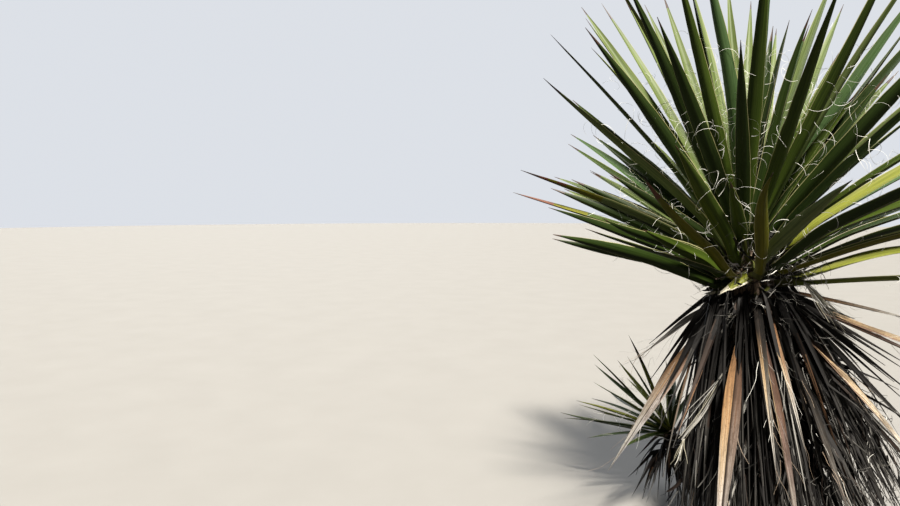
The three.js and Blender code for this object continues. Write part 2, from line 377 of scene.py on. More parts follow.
def bark_material():
    """Cracked bark, browner in its cracks."""
    material, tree, shader = new_material("bark")
    place = add_node(tree, "TexCoord").outputs["Object"]
    stretched = add_node(tree, "Mapping", {"Vector": place, "Scale": (1, 1, 0.35)}).outputs[0]
    inputs = {"Vector": stretched, "Scale": BARK_GRAIN, "Detail": 6}
    coarse = add_node(tree, "TexNoise", inputs).outputs["Fac"]
    inputs = {"Vector": stretched, "Scale": BARK_CRACKS}
    cracks = add_node(tree, "TexVoronoi", inputs, feature="DISTANCE_TO_EDGE").outputs["Distance"]
    colour = mixed(tree, "3b2d22", "8d7a66", spread_out(tree, coarse, 0, 1))
    feed(tree, shader, {
        "Base Color": mixed(tree, "241a13", colour, spread_out(tree, cracks, 0, 1, 0.0, 0.12)),
        "Roughness": 0.92,
        "Normal": bump(tree, combined(tree, coarse, cracks), 0.8, BARK_RELIEF),
    })
    return material


def floor_material():
    """A plain pale floor, which throws back less light than its colour shows."""
    material, tree, shader = new_material("pale_floor")
    place = add_node(tree, "TexCoord").outputs["Object"]
    grain = add_node(tree, "TexNoise", {"Vector": place, "Scale": FLOOR_GRAIN, "Detail": 3}).outputs["Fac"]
    seen = add_node(tree, "LightPath").outputs["Is Camera Ray"]
    colour = mixed(tree, "2a2825", mixed(tree, "83807b", "8b8883", grain), seen)
    feed(tree, shader, {"Base Color": colour, "Roughness": 0.85})
    return material


# Dark and light colour, roughness and relief of each look
LEAF_LOOKS = {
    "green_mid": ("233406", "4b5c1a", 0.5, 0.3),
    "green_bright": ("45580f", "7f8a3a", 0.48, 0.3),
    "green_deep": ("152403", "304110", 0.5, 0.3),
    "green_yellow": ("545c10", "8c8e34", 0.5, 0.3),
    "green_pale": ("384817", "808e58", 0.5, 0.3),
    "green_blue": ("28401b", "516a3c", 0.52, 0.3),
    "green_old": ("474a06", "7c7818", 0.55, 0.4),
    # leaf_base is darkened, partly painted shade in the crown's heart
    "leaf_base": ("30340f", "5a5c2a", 0.6, 0.4),
    "leaf_margin": ("7d7a48", "bdb689", 0.6, 0.3),
    "leaf_tip": ("241710", "543b2a", 0.5, 0.4),
    "leaf_rust": ("4a2618", "7c4a2e", 0.55, 0.4),
    "leaf_torn": ("99927a", "ddd7c6", 0.7, 0.6),
    "fibre": ("dcdad2", "faf8f2", 0.6, 0.2),
    "dead_orange": ("7c5a42", "b58c6a", 0.64, 0.8),
    "dead_tan": ("846f5c", "beac98", 0.66, 0.8),
    # dead_brown, dead_grey and dead_dark are darkened as painted shade of the skirt's shadowed inside,
    # partly the old leaves' own colour
    "dead_brown": ("241b16", "4c3c33", 0.66, 0.8),
    "dead_grey": ("24221f", "4f4c48", 0.75, 1.0),
    "dead_silver": ("66635e", "b4b1ab", 0.72, 1.0),
    "dead_dark": ("0f0d0b", "242120", 0.8, 0.9),
}
GREEN_SHINE = 0.3


def leaf_looks():
    """The leaves' materials: the green ones glossy only a little, the dead ones with coarser grains."""
    looks = {}
    for name, values in LEAF_LOOKS.items():
        if name.startswith("dead"):
            looks[name] = fibrous(name, *values, DEAD_STREAK, DEAD_PATCH)
        elif name.startswith("green") or name == "leaf_base":
            looks[name] = fibrous(name, *values, shine=GREEN_SHINE)
        else:
            looks[name] = fibrous(name, *values)
    return looks


LOOKS = {**leaf_looks(), "bark": bark_material()}
LOOK_NAMES = list(LOOKS)
CODES = {name: code for code, name in enumerate(LOOK_NAMES)}


# Looks of loose fibres and scraps
PALE = ["fibre", "dead_silver", "dead_grey"]
PALE_AND_DARK = [*PALE, "dead_dark"]


def pick(rng, names, odds=None):
    """The code of one of the looks."""
    return CODES[rng.choice(names, p=odds)]


# Joined meshes


def link(name, data):
    made = bpy.data.objects.new(name, data)
    bpy.context.scene.collection.objects.link(made)
    return made


class Bunch:
    """Closed strips of faces, gathered to become one joined mesh."""

    def __init__(self):
        self.points = []
        self.marks = []
        self.faces = []
        self.codes = []
        self.count = 0

    def add(self, rings, marks, codes):
        """Adds a strip: its rings of points, their places on the material, and each face's look."""
        steps, around = rings.shape[:2]
        index = self.count + np.arange(steps * around).reshape(steps, around)
        turned = np.roll(index, -1, axis=1)
        quads = np.stack([index[:-1], turned[:-1], turned[1:], index[1:]], axis=-1)
        self.faces.extend(quads.reshape(-1, 4).tolist())
        self.faces.append(index[0, ::-1].tolist())
        self.faces.append(index[-1].tolist())
        self.codes.extend(np.broadcast_to(codes, (steps - 1, around)).reshape(-1).tolist())
        self.codes.extend([self.codes[-1]] * 2)
        self.points.append(rings.reshape(-1, 3))
        self.marks.append(np.broadcast_to(marks, (steps, around, 2)).reshape(-1, 2))
        self.count += steps * around

    def build(self, name, slot, stands_for=(), sharp=50):
        points = np.concatenate(self.points)
        points[:, 2] = np.maximum(points[:, 2], GROUND_CLEARANCE)
        used, places = np.unique(self.codes, return_inverse=True)
        mesh = bpy.data.meshes.new(name)
        mesh.from_pydata(points.tolist(), [], self.faces)
        for code in used:
            mesh.materials.append(LOOKS[LOOK_NAMES[code]])
        mesh.polygons.foreach_set("material_index", places.astype(np.int32))
        mesh.polygons.foreach_set("use_smooth", np.ones(len(self.faces), bool))
        corners = np.empty(len(mesh.loops), np.int32)
        mesh.loops.foreach_get("vertex_index", corners)
        marks = np.concatenate(self.marks)[corners]
        mesh.uv_layers.new(name="along").data.foreach_set("uv", marks.astype(np.float32).reshape(-1))
        mesh.set_sharp_from_angle(angle=math.radians(sharp))
        piece = link(name, mesh)
        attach(piece, "root")
        if stands_for:
            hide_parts(*stands_for)
        return piece


# Reading the solids


def named(start):
    """The names of the nodes that start so, in order."""
    return sorted(name for name in nodes if name.startswith(start))


def node_points(name):
    co = np.empty(len(nodes[name].data.vertices) * 3, np.float32)
    nodes[name].data.vertices.foreach_get("co", co)
    return np.unique(co.reshape(-1, 3).round(5).astype(float), axis=0)


def trunk_rings():
    """Height, middle and radius of each ring of the trunk's solid."""
    points = node_points("trunk")
    heights = np.unique(points[:, 2].round(3))
    rings = []
    for height in heights:
        ring = points[np.abs(points[:, 2] - height) < 0.001]
        middle = ring.mean(axis=0)
        rings.append((height, middle[0], middle[1], np.linalg.norm(ring - middle, axis=1).max()))
    return np.array(rings).T


TRUNK = trunk_rings()


def trunk_at(height):
    return np.array([np.interp(height, TRUNK[0], TRUNK[1]), np.interp(height, TRUNK[0], TRUNK[2]), height])


def trunk_radius(height):
    return np.interp(height, TRUNK[0], TRUNK[3])


# Height and radius of the thick head that old leaf bases make at the trunk's top
HEAD_HEIGHTS = [0.90, 0.96, 1.04, 1.12, 1.18, 1.23]
HEAD_RADII = [0.0, 0.098, 0.112, 0.1, 0.078, 0.03]


def head_radius(height):
    return max(trunk_radius(height), np.interp(height, HEAD_HEIGHTS, HEAD_RADII))


def tree_of(names):
    """A search tree over the faces of the named solids."""
    points, faces = [], []
    for name in names:
        mesh = nodes[name].data
        faces += [[len(points) + v for v in polygon.vertices] for polygon in mesh.polygons]
        points += [v.co.copy() for v in mesh.vertices]
    return BVHTree.FromPolygons(points, faces)


def met_at(tree, middle, out, reach, missed):
    """How far out from a middle a ray from outside meets the tree, or what stands for a miss."""
    hit = tree.ray_cast(middle + out * reach, -out)
    return reach - hit[3] if hit[0] else missed


SKIRT_HEIGHTS = np.linspace(0.03, 0.99, 33)
SKIRT_TURNS = 72


def skirt_table():
    """The radius of the skirt's solids round the trunk, by height and angle."""
    tree = tree_of(named("skirt_"))
    table = np.zeros((len(SKIRT_HEIGHTS), SKIRT_TURNS))
    for i, height in enumerate(SKIRT_HEIGHTS):
        for j in range(SKIRT_TURNS):
            out = Vector(spherical(2 * math.pi * j / SKIRT_TURNS, 0))
            table[i, j] = met_at(tree, Vector(trunk_at(height)), out, 1.5, 0.1)
    return table


SKIRT_TABLE = skirt_table()


def skirt_radius(height, angle):
    """The table read between its rows and columns."""
    row = np.interp(height, SKIRT_HEIGHTS, np.arange(len(SKIRT_HEIGHTS)))
    low = np.minimum(np.floor(row).astype(int), len(SKIRT_HEIGHTS) - 2)
    column = angle / (2 * math.pi) % 1 * SKIRT_TURNS
    left = int(column) % SKIRT_TURNS
    right = (left + 1) % SKIRT_TURNS
    near = lerp(SKIRT_TABLE[low, left], SKIRT_TABLE[low, right], column - int(column))
    far = lerp(SKIRT_TABLE[low + 1, left], SKIRT_TABLE[low + 1, right], column - int(column))
    return lerp(near, far, row - low)


# Strips: the middle line, side and face vectors and half width that a leaf is built on

Strip = namedtuple("Strip", "share centre side face tangent half length")


def outline(share, clasp, neck, start, widest, taper, tip):
    """Width of a leaf against its share of the length: a start broadened by the clasp, a neck,
    the widest place before the middle, and a long taper to the tip."""
    rising = neck + (1 - neck) * smooth((share - start) / (widest - start))
    falling = 1 - (np.maximum(share - widest, 0) / (1 - widest)) ** taper
    return np.where(share < widest, rising + clasp, np.maximum(falling, tip))


def leaf_outline(share):
    clasp = np.maximum(1 - share / 0.13, 0) ** 1.5
    return outline(share, clasp, neck=0.74, start=0.1, widest=0.44, taper=1.8, tip=0.03)


def dead_outline(share):
    clasp = 0.6 * np.maximum(1 - share / 0.06, 0)
    return outline(share, clasp, neck=0.6, start=0.06, widest=0.36, taper=1.5, tip=0.05)


def strip_from(share, centre, side, half):
    tangent = unit(np.gradient(centre, axis=0))
    side = unit(side - tangent * (side * tangent).sum(axis=1, keepdims=True))
    length = np.linalg.norm(np.diff(centre, axis=0), axis=1).sum()
    return Strip(share, centre, side, np.cross(side, tangent), tangent, half, length)


def blade_rings(name, root):
    """A leaf's axis, the rings of points that its solid is made of, and their places along it."""
    points = node_points(name) - root
    axis = unit(points[np.argmax((points**2).sum(axis=1))])
    along = points @ axis
    order = np.argsort(along)
    groups = np.split(order, np.nonzero(np.diff(along[order]) > RING_APART)[0] + 1)
    return axis, [points[group] for group in groups], [along[group].mean() for group in groups]


def read_ring(ring, axis, at_tip):
    """The middle, the way across and the width of a leaf where its solid has a ring."""
    gaps = np.linalg.norm(ring[:, None] - ring[None], axis=2)
    a, b = np.unravel_index(np.argmax(gaps), gaps.shape)
    others = [i for i in range(4) if i not in (a, b)]
    middle = ring.mean(axis=0) if at_tip else ring[others].mean(axis=0)
    side = ring[b] - ring[a]
    lift = (ring[a] + ring[b]) / 2 - middle
    return middle, -side if np.cross(side, axis) @ lift < 0 else side, gaps.max()


def cad_strip(name, root, steps, share):
    """The strip that a leaf's solid follows, carried on to the start that it hides."""
    axis, rings, places = blade_rings(name, root)
    shares, readings = [], []
    for ring, place in zip(rings, places):
        back = (places[-1] - place) / (places[-1] - places[-2])
        if len(ring) == 4 and abs(back - round(back)) <= RING_OFF:
            shares.append(1 - round(back) / steps)
            readings.append(read_ring(ring, axis, round(back) == 0))
    shares = np.array(shares)
    centres, sides, widths = (np.array(values) for values in zip(*readings))
    spine = np.polyfit(shares, centres, 2)
    turn = np.polyfit(shares[:-1], unit(sides[:-1]), 1)
    full = max(width / leaf_outline(s) for width, s in zip(widths[:-1], shares[:-1]))
    centre = share[:, None] ** 2 * spine[0] + share[:, None] * spine[1] + spine[2] + root
    return strip_from(share, centre, share[:, None] * turn[0] + turn[1], 0.5 * full * leaf_outline(share))


def grown_strip(base, direction, length, width, sag, roll, share, width_along=leaf_outline):
    """A strip that leaves its base in one direction, sags and turns about its length."""
    face = unit(UP - direction * (UP @ direction))
    across = np.cross(direction, face)
    centre = base + direction * (length * share)[:, None] - face * (sag * length * share**2)[:, None]
    tangent = unit(np.gradient(centre, axis=0))
    side = rotated(np.broadcast_to(across, tangent.shape), tangent, roll * (0.35 + 0.65 * share))
    return strip_from(share, centre, side, 0.5 * width * width_along(share))


def moved(strip, shift):
    return strip_from(strip.share, strip.centre + shift, strip.side, strip.half)


def wavering(strip, rng, amount):
    """The strip with a slight bend and wave of its own, which grow towards its tip."""
    turns = rng.uniform(0.35, 0.9, 2)
    phases = rng.uniform(0, 2 * math.pi, 2)
    sizes = rng.normal(0, amount, 2)
    waves = [
        size * strip.share * (np.sin(2 * math.pi * turn * strip.share + phase) - math.sin(phase))
        for size, turn, phase in zip(sizes, turns, phases)
    ]
    return moved(strip, strip.side * waves[0][:, None] + strip.face * waves[1][:, None])


# Surfaces and fibres

MARK_SPREAD = 40  # leaves take their grain from anywhere in a square of this size
THREAD_CORNERS = (0.0, 2.094, 4.189)  # the angles of a fibre's three corners


def surface(strip, across, lift, squeeze=1):
    """The rings of points that lie so far across a strip, squeezed where it is folded, and above
    it, and the place of each on the material."""
    rings = (
        strip.centre[:, None]
        + strip.side[:, None] * (across * squeeze)[..., None]
        + strip.face[:, None] * lift[..., None]
    )
    along = np.broadcast_to(strip.share[:, None] * strip.length, rings.shape[:2])
    return rings, np.stack([across, along], -1)


def shifted(marks, rng):
    return marks + rng.uniform(0, MARK_SPREAD, 2)


def thread(bunch, points, radius, first, second, length, code):
    """A fibre round a line of points, with its corners in the plane of two directions."""
    corners = [points + radius * (math.cos(a) * first + math.sin(a) * second) for a in THREAD_CORNERS]
    marks = np.zeros((len(points), 3, 2))
    marks[..., 1] = np.linspace(0, length, len(points))[:, None]
    bunch.add(np.stack(corners, axis=1), marks, code)


def curl(bunch, start, direction, axis, length, bend, width, code, steps=12):
    """A fibre that starts straight and bends ever more tightly about the axis."""
    share = np.linspace(0, 1, steps)
    axis = unit(axis - direction * (axis @ direction))
    heading = rotated(np.broadcast_to(direction, (steps, 3)), axis, bend * share**1.25)
    climb = axis * (0.12 * length * share**2)[:, None]
    points = start + np.cumsum(heading, axis=0) * (length / steps) + climb
    radius = 0.5 * width * lerp(1.0, 0.45, share)[:, None]
    thread(bunch, points, radius, axis, np.cross(heading, axis), length, code)


def strand(bunch, start, direction, rng, length, width, code, unrest=0.5, steps=9):
    """A loose fibre that wanders as it goes."""
    turns = rng.normal(0, unrest, (steps, 3)).cumsum(axis=0) / math.sqrt(steps)
    heading = unit(direction + turns)
    points = start + np.cumsum(heading, axis=0) * (length / steps)
    first = unit(np.cross(direction, rng.normal(size=3)))
    side = unit(first - heading * (heading @ first)[:, None])
    radius = 0.5 * width * np.linspace(1, 0.4, steps)[:, None]
    thread(bunch, points, radius, side, np.cross(heading, side), length, code)


# Green leaves

LEAF_SHARES = np.linspace(0, 1, 25) ** 0.9
LEAF_START = 0.045  # the share of a leaf's length that lies inside the trunk
# Places round a leaf, and which of them are on its under side and its margins
LEAF_SIDES = np.array([-1, -0.95, -0.6, -0.2, 0.2, 0.6, 0.95, 1, 0.95, 0.5, 0, -0.5, -0.95])
LEAF_UNDER = np.array([0] * 8 + [1] * 5)
LEAF_MARGIN = np.isin(np.arange(len(LEAF_SIDES)), (0, 6, 7, 12))
# The looks of green leaves, and how often each comes in the whole crown and at its front
GREENS = ["green_mid", "green_bright", "green_deep", "green_pale", "green_blue"]
GREEN_ODDS = np.array([0.37, 0.08, 0.32, 0.15, 0.08])
# The front's odds favour green_deep, partly painted shade on leaves that show their shaded undersides
FRONT_ODDS = np.array([0.36, 0.04, 0.56, 0.0, 0.04])

# Looks of the leaves that have solids of their own, where the photograph shows them
TINTED = {
    "green_old": ["near_2", "near_3", "front_6"],
    # green_deep on the near and front leaves is partly painted shade
    "green_deep": ["near_1", "front_3", "front_4"],
    "green_bright": ["middle_8"],
    "green_blue": ["middle_4"],
    # green_pale on the back leaves is partly painted light on their lit upper faces
    "green_pale": ["back_1", "back_2", "back_3", "back_4", "behind_2", "behind_3"],
    "green_yellow": ["back_7", "behind_5"],
}
TINTS = {f"leaf_{place}": tint for tint, places in TINTED.items() for place in places}
FACE_UP = ("leaf_back_7", "leaf_behind_5")  # these show their upper face to the viewer
RUSTY = {"leaf_middle_1": 0.14, "leaf_front_1": 0.12, "leaf_near_2": 0.13}
# How far the middle of a leaf hangs off the line of its solid
BOWED = {
    "leaf_near_1": (0.0, 0.0, -0.03),
    "leaf_near_2": (-0.033, -0.014, -0.043),
}
# Where the bent leaf in the middle of the front starts
BENT_LEAF = "leaf_near_3"
BENT_START = np.array([-0.072, -0.139, 1.099])

TO_VIEWER = np.array([0.1, -0.95, 0.3])
SECTORS = {"right": -40, "back": 50, "left": 140, "front": 230}  # start of each quarter, in degrees
FILL_TRIES = 420
FILL_LOWEST = -0.05  # rise of the lowest filling leaf, as the sine of its angle
FILL_APART = (0.115, 0.27)  # least angle between neighbours at the back and at the front
LEAF_FIBRES = (2, 10)  # on a low and on an upright leaf
OFFSET_FIBRES = 3


def leaf_look(rng, tint, tip, rust):
    """The look of each face of a leaf, by station and by place round it."""
    middles = (LEAF_SHARES[1:] + LEAF_SHARES[:-1]) / 2
    codes = np.full((len(middles), len(LEAF_SIDES)), CODES[tint])
    codes[:, LEAF_MARGIN] = CODES["leaf_margin"]
    ragged = rng.uniform(0, 0.09, codes.shape)
    if rust:
        codes[middles[:, None] + ragged > 0.86 - rust] = CODES["green_old"]
        codes[middles[:, None] + ragged > 1 - rust] = CODES["leaf_rust"]
    codes[middles > 1 - tip] = CODES["leaf_tip"]
    codes[middles < 0.06] = CODES["leaf_base"]
    return codes


def under_side(sides, thick):
    """How far the points on a leaf's under side lie below its upper side."""
    return LEAF_UNDER * thick * (1 - np.abs(sides) ** 2.5) ** 0.8


def green_leaf(bunch, strip, rng, tint=None, thickness=LEAF_THICKNESS, rust=0.0):
    """A stiff leaf, hollow on its upper face, with pale margins and a brown spine at its tip."""
    strip = wavering(strip, rng, 0.01)
    tint = tint or rng.choice(GREENS, p=GREEN_ODDS)
    cup = rng.uniform(0.3, 0.6)
    sides = LEAF_SIDES[None, :]
    half = strip.half[:, None] * (1 + 0.02 * rng.normal(size=(len(strip.share), 1)))
    clasping = 1 + 0.9 * np.maximum(1 - strip.share / 0.14, 0)[:, None]
    lift = cup * clasping * half * (0.5 * np.abs(sides) + 0.5 * sides**2)
    thick = np.minimum(lerp(thickness, 0.3 * thickness, strip.share), 0.5 * strip.half)[:, None]
    rings, marks = surface(strip, half * sides, lift - under_side(sides, thick))
    marks = shifted(marks, rng)
    bunch.add(rings, marks, leaf_look(rng, tint, rng.uniform(0.035, 0.07), rust))
    return strip, cup


def leaf_fibres(bunch, strip, cup, rng, count):
    """Curling fibres that peel from both margins of a leaf."""
    for _ in range(count):
        place = np.interp(rng.triangular(0.2, 0.56, 0.8), strip.share, np.arange(len(strip.share)))
        low = int(place)
        high = min(low + 1, len(strip.share) - 1)
        centre, side, face, tangent, half = (
            lerp(values[low], values[high], place - low)
            for values in (strip.centre, strip.side, strip.face, strip.tangent, strip.half)
        )
        hand = rng.choice([-1, 1])
        start = centre + side * hand * half * 0.98 + face * cup * half
        direction = unit(
            tangent * rng.normal(0.2, 0.7)
            + side * hand * rng.uniform(0.5, 1.0)
            + face * rng.normal(0.1, 0.4)
        )
        axis = unit(face * rng.choice([-1, 1]) + rng.normal(0, 0.6, 3))
        bend = rng.uniform(1.0, 3.8)
        length = bend * rng.uniform(0.022, 0.062)
        width = FIBRE_WIDTH * rng.uniform(0.5, 1.0)
        curl(bunch, start, direction, axis, length, bend, width, CODES["fibre"])


def fibres_on(direction):
    """How many fibres peel from a leaf: most from upright ones."""
    return round(lerp(*LEAF_FIBRES, smooth((direction[2] - 0.2) / 0.6)))


def crown_root():
    return trunk_at(CROWN_HEIGHT + 0.5 * CROWN_BAND)


def rebased(strip, rng):
    """The strip with its start moved out to the head's surface. Low leaves start low and far out,
    and the youngest at the growing tip."""
    heading = unit(strip.centre[8] - strip.centre[0])
    rise = float(np.clip(heading[2], 0, 1))
    height = lerp(CROWN_HEIGHT - 0.01, CROWN_HEIGHT + CROWN_BAND + 0.02, rise) + rng.normal(0, 0.012)
    out = heading * [1, 1, 0]
    base = trunk_at(height) + out * head_radius(height) * lerp(1.0, 0.55, rise)
    return started_at(strip, base, lerp(0.6, 0.22, smooth(rise * 1.5)))


def started_at(strip, base, reach):
    """The strip with its start moved, by less and less up to the share of its length."""
    fade = (1 - smooth((strip.share - strip.share[0]) / reach))[:, None]
    return moved(strip, (base - strip.centre[0]) * fade)


def turned_to(strip, direction, amount):
    """The strip turned about its length, so that its face comes nearer to a direction."""
    square = direction - strip.tangent * (strip.tangent @ direction)[:, None]
    face = unit(lerp(strip.face, unit(square), amount))
    return strip_from(strip.share, strip.centre, np.cross(strip.tangent, face), strip.half)


def bowed(strip, shift):
    """The strip with its middle shifted and its ends left where they are."""
    return moved(strip, (4 * strip.share * (1 - strip.share))[:, None] * np.array(shift))


def solid_leaves(fibres):
    """A leaf in place of each of the crown's blades."""
    rng = np.random.default_rng(11)
    fibre_rng = np.random.default_rng(12)
    directions = []
    share = lerp(LEAF_START, 1, LEAF_SHARES)
    for name in named("leaf_"):
        strip = cad_strip(name, crown_root(), CAD_LEAF_STEPS, share)
        if name == BENT_LEAF:
            strip = started_at(strip, BENT_START, 0.85)
        else:
            strip = bowed(rebased(strip, rng), BOWED.get(name, (0, 0, 0)))
        if name in FACE_UP:
            strip = turned_to(strip, UP + [0, -0.5, 0], 1)
        bunch = Bunch()
        strip, cup = green_leaf(bunch, strip, rng, TINTS.get(name), rust=RUSTY.get(name, 0))
        bunch.build(name.replace("leaf", "green_leaf"), "green_leaf", [name])
        direction = unit(strip.centre[-1] - strip.centre[0])
        leaf_fibres(fibres, strip, cup, fibre_rng, fibres_on(direction))
        directions.append(direction)
    return directions


def inside_box(base, direction, length, sag):
    """The length that keeps a leaf's tip, which hangs by the sag, in the solids' box."""
    low, high = (np.array(corner) for corner in cad_box)
    to_tip = direction - sag * unit(UP - direction * (UP @ direction))
    room = np.where(to_tip > 0, high - base, low - base)
    limits = np.divide(room, to_tip, out=np.full(3, np.inf), where=np.abs(to_tip) > 1e-6)
    return min(length, limits.min())


def sector_of(azimuth, sectors):
    width = 360 / len(sectors)
    for name, start in sectors.items():
        if (math.degrees(azimuth) - start) % 360 < width:
            return name
    return name


def crown_leaf(bunches, rng, direction, length, sag, turn, tint):
    """A leaf of the crown's heart, turned to the viewer by an amount if there is one."""
    share = lerp(LEAF_START, 1, LEAF_SHARES)
    base = trunk_at(CROWN_HEIGHT + CROWN_BAND * max(0, direction[2]))
    length = inside_box(base, direction, length, sag)
    width = LEAF_WIDTH * rng.uniform(0.86, 1.14)
    strip = grown_strip(base, direction, length, width, sag, rng.uniform(-0.8, 0.8), share)
    if turn:
        strip = turned_to(strip, TO_VIEWER if direction[1] > -0.08 else -TO_VIEWER, turn)
    # leaves towards the viewer take the front's odds: more green_deep, partly painted shade
    odds = lerp(GREEN_ODDS, FRONT_ODDS, smooth(0.5 - 3 * direction[1]))
    tint = tint or rng.choice(GREENS, p=odds)
    where = sector_of(math.atan2(direction[1], direction[0]), SECTORS)
    return green_leaf(bunches[where], rebased(strip, rng), rng, tint)


def fill_place(n, rng):
    """The azimuth and direction of a filling leaf, by its turn in the spiral."""
    rise = math.asin(lerp(0.995, FILL_LOWEST, (n + 0.5) / FILL_TRIES)) + rng.normal(0, 0.05)
    azimuth = n * GOLDEN_ANGLE + rng.normal(0, 0.08)
    return azimuth, spherical(azimuth, rise)


def has_room(azimuth, direction, kept):
    """Whether a filling leaf rises far enough, less so at the back, and clear of its neighbours,
    which stand further apart at the front."""
    if direction[2] < 0.3 - 0.06 * math.sin(azimuth):
        return False
    apart = lerp(*FILL_APART, smooth((0.1 - direction[1]) / 0.9))
    return max(direction @ other for other in kept) <= math.cos(apart)


def crown_masses(directions, fibres):
    """The many leaves of the crown's heart, which come in the golden-angle spiral of the young
    shoots, wherever no leaf with a solid of its own points."""
    rng = np.random.default_rng(23)
    fibre_rng = np.random.default_rng(24)
    bunches = {name: Bunch() for name in SECTORS}
    kept = list(directions)

    def grow(direction, length, sag, turn=None, tint=None):
        strip, cup = crown_leaf(bunches, rng, direction, length, sag, turn, tint)
        leaf_fibres(fibres, strip, cup, fibre_rng, fibres_on(direction))
        kept.append(direction)

    for lean, swing, length in AIMED_LEAVES:
        direction = towards(swing, lean)
        # leaves leaning back near the upright take green_pale, partly painted light on their lit upper
        # faces
        tint = "green_pale" if lean < 0 and abs(swing) < 35 else None
        grow(direction, length, 0.05 * smooth(2.5 * direction[2] - 0.5), rng.uniform(0.4, 0.75), tint)
    for n in range(FILL_TRIES):
        age = (n + 0.5) / FILL_TRIES
        azimuth, direction = fill_place(n, rng)
        if has_room(azimuth, direction, kept):
            length = lerp(1.0, 1.2, smooth(age * 6)) * lerp(1, 0.85, smooth(age * 4 - 2))
            length = length * rng.uniform(0.88, 1.03)
            grow(direction, length, rng.uniform(0.03, 0.07) + 0.05 * (1 - max(0, direction[2])))
    for name, bunch in bunches.items():
        bunch.build(f"crown_leaves_{name}", "leaf_heart", [f"crown_{name}"])


# Dead leaves

DEAD_SHARES = np.linspace(0, 1, 33)
DEAD_MIDDLE = 16  # the station halfway along a dead leaf
# Places round a dead leaf, and which of them are on its under side
DEAD_SIDES = np.array([-1, -0.75, -0.5, -0.25, 0, 0.25, 0.5, 0.75, 1, 0.6, 0, -0.6])
DEAD_UNDER = np.array([0] * 9 + [1] * 3)

# The looks of a dead leaf's brighter and duller half from its start to its tip, and how often each kind
# comes. The duller half is partly painted shade, the dark starts are partly painted shadow of the crown,
# and the odds lean to the darkest kind, partly painted shade of the skirt.
DEAD_KINDS = [
    ("dark brown orange tan tan silver", "dark dark brown orange brown grey", 0.04),
    ("dark dark brown orange grey silver", "dark dark brown brown grey dark", 0.06),
    ("dark dark brown grey silver silver", "dark dark dark brown grey silver", 0.05),
    ("dark dark dark grey silver grey", "dark dark dark dark grey grey", 0.2),
    ("dark dark dark dark grey dark", "dark dark dark dark dark grey", 0.65),
]
BLEACHED_KIND = ("grey grey silver silver silver silver", "dark grey grey silver silver silver")

# Palettes of one half of a dry leaf, from its start to its tip. Their dark starts are partly painted shadow
# of the crown.
ORANGE = ("241c17", "7c543a", "b88a62", "cba27c", "cdb8a2", "d8d3cb")
TAN = ("2a231d", "7c644c", "b3946c", "cbb18c", "cbbba2", "dad5cd")
BRIGHT = ("2a2019", "7a5638", "a67c54", "bb9468", "cdb696", "d6cec8")
RUSSET = ("241c17", "5c4638", "7e6250", "8f7565", "ab9c92", "c4bcb6")
PINK = ("241c17", "6c5040", "9c7a66", "b3947f", "c4b6ae", "d0ccca")
BROWN = ("1f1a17", "3a2d26", "644a3e", "7e6150", "84706a", "aaa29a")
MAUVE = ("1f1a17", "30261f", "56443b", "735c52", "887870", "b0a8a0")
GREY = ("1d1b19", "33302d", "57544f", "757169", "98948d", "bcb8b1")
DARK = ("171513", "22201e", "2f2c2a", "393633", "4a4642", "6f6a64")
BLEACHED = ("1d1b19", "3e3b37", "86827b", "b8b4ac", "cdc9c2", "dedad4")

# For each leaf with a solid of its own: its halves, its fold, how far it is turned to face the
# viewer and the light, and how broad it has stayed
DRY_LEAVES = [
    (BLEACHED, GREY, 0.5, 0.9, 0.62),
    (ORANGE, PINK, 0.2, 1.0, 0.8),
    (BRIGHT, RUSSET, 0.6, 0.2, 0.88),
    (TAN, BROWN, 0.75, 0.0, 0.66),
    (DARK, DARK, 0.75, 0.0, 0.8),
    (PINK, TAN, 0.45, 0.6, 0.7),
    (PINK, TAN, 0.4, 0.7, 0.62),
    (TAN, BROWN, 0.75, 0.0, 0.8),
    (ORANGE, BROWN, 0.6, 0.3, 0.8),
]
WIDE_FOLD_SHADOWS = {"dead_leaf_3": 0.013}  # folds whose painted shadow shows as a broad dark line
ROLLED_UNTIL = 0.45  # share of the length by which the rolled start of such a leaf has opened
FACING = np.array([0.24, -0.63, 0.55])  # between the viewer and the light
# Further lit leaves that hang in front of the skirt and on its right: lean, swing, length, width, the
# palettes of their halves, and how far down these are put off, which draws out the painted shadow of the
# crown at their start
LIT_DEAD = [
    (32, 9.0, 0.72, 0.040, TAN, GREY, 0.75),
    (27, 17.0, 0.64, 0.036, TAN, ORANGE, 0.35),
    (-4, 66.0, 0.95, 0.036, ORANGE, BROWN, 0.3),
    (-14, 69.0, 0.90, 0.032, TAN, MAUVE, 0.4),
    (-30, 78.0, 0.80, 0.036, ORANGE, BROWN, 0.3),
]

SKIRT_SECTORS = {"right": -30, "back_right": 42, "back_left": 114, "left": 186, "front": 258}
SPLIT_FIBRES = 14  # on a leaf with a solid of its own
LIT_SPLIT_FIBRES = 10
SKIRT_LEAVES = 360
RAGGED_SIDE = math.radians(-12)  # the skirt is most broken up on its right
RAGGED_LEAVES = 70
SHREDS = 1000
# the shreds are mostly dead_dark, partly painted shade of the skirt
SHRED_LOOKS = ["dead_silver", "dead_grey", "dead_brown"] + ["dead_dark"] * 3
CURLED_SHREDS = 260
LITTER = 230
BIT_SHARES = np.linspace(0, 1, 9)
BIT_THICKNESS = 0.0015


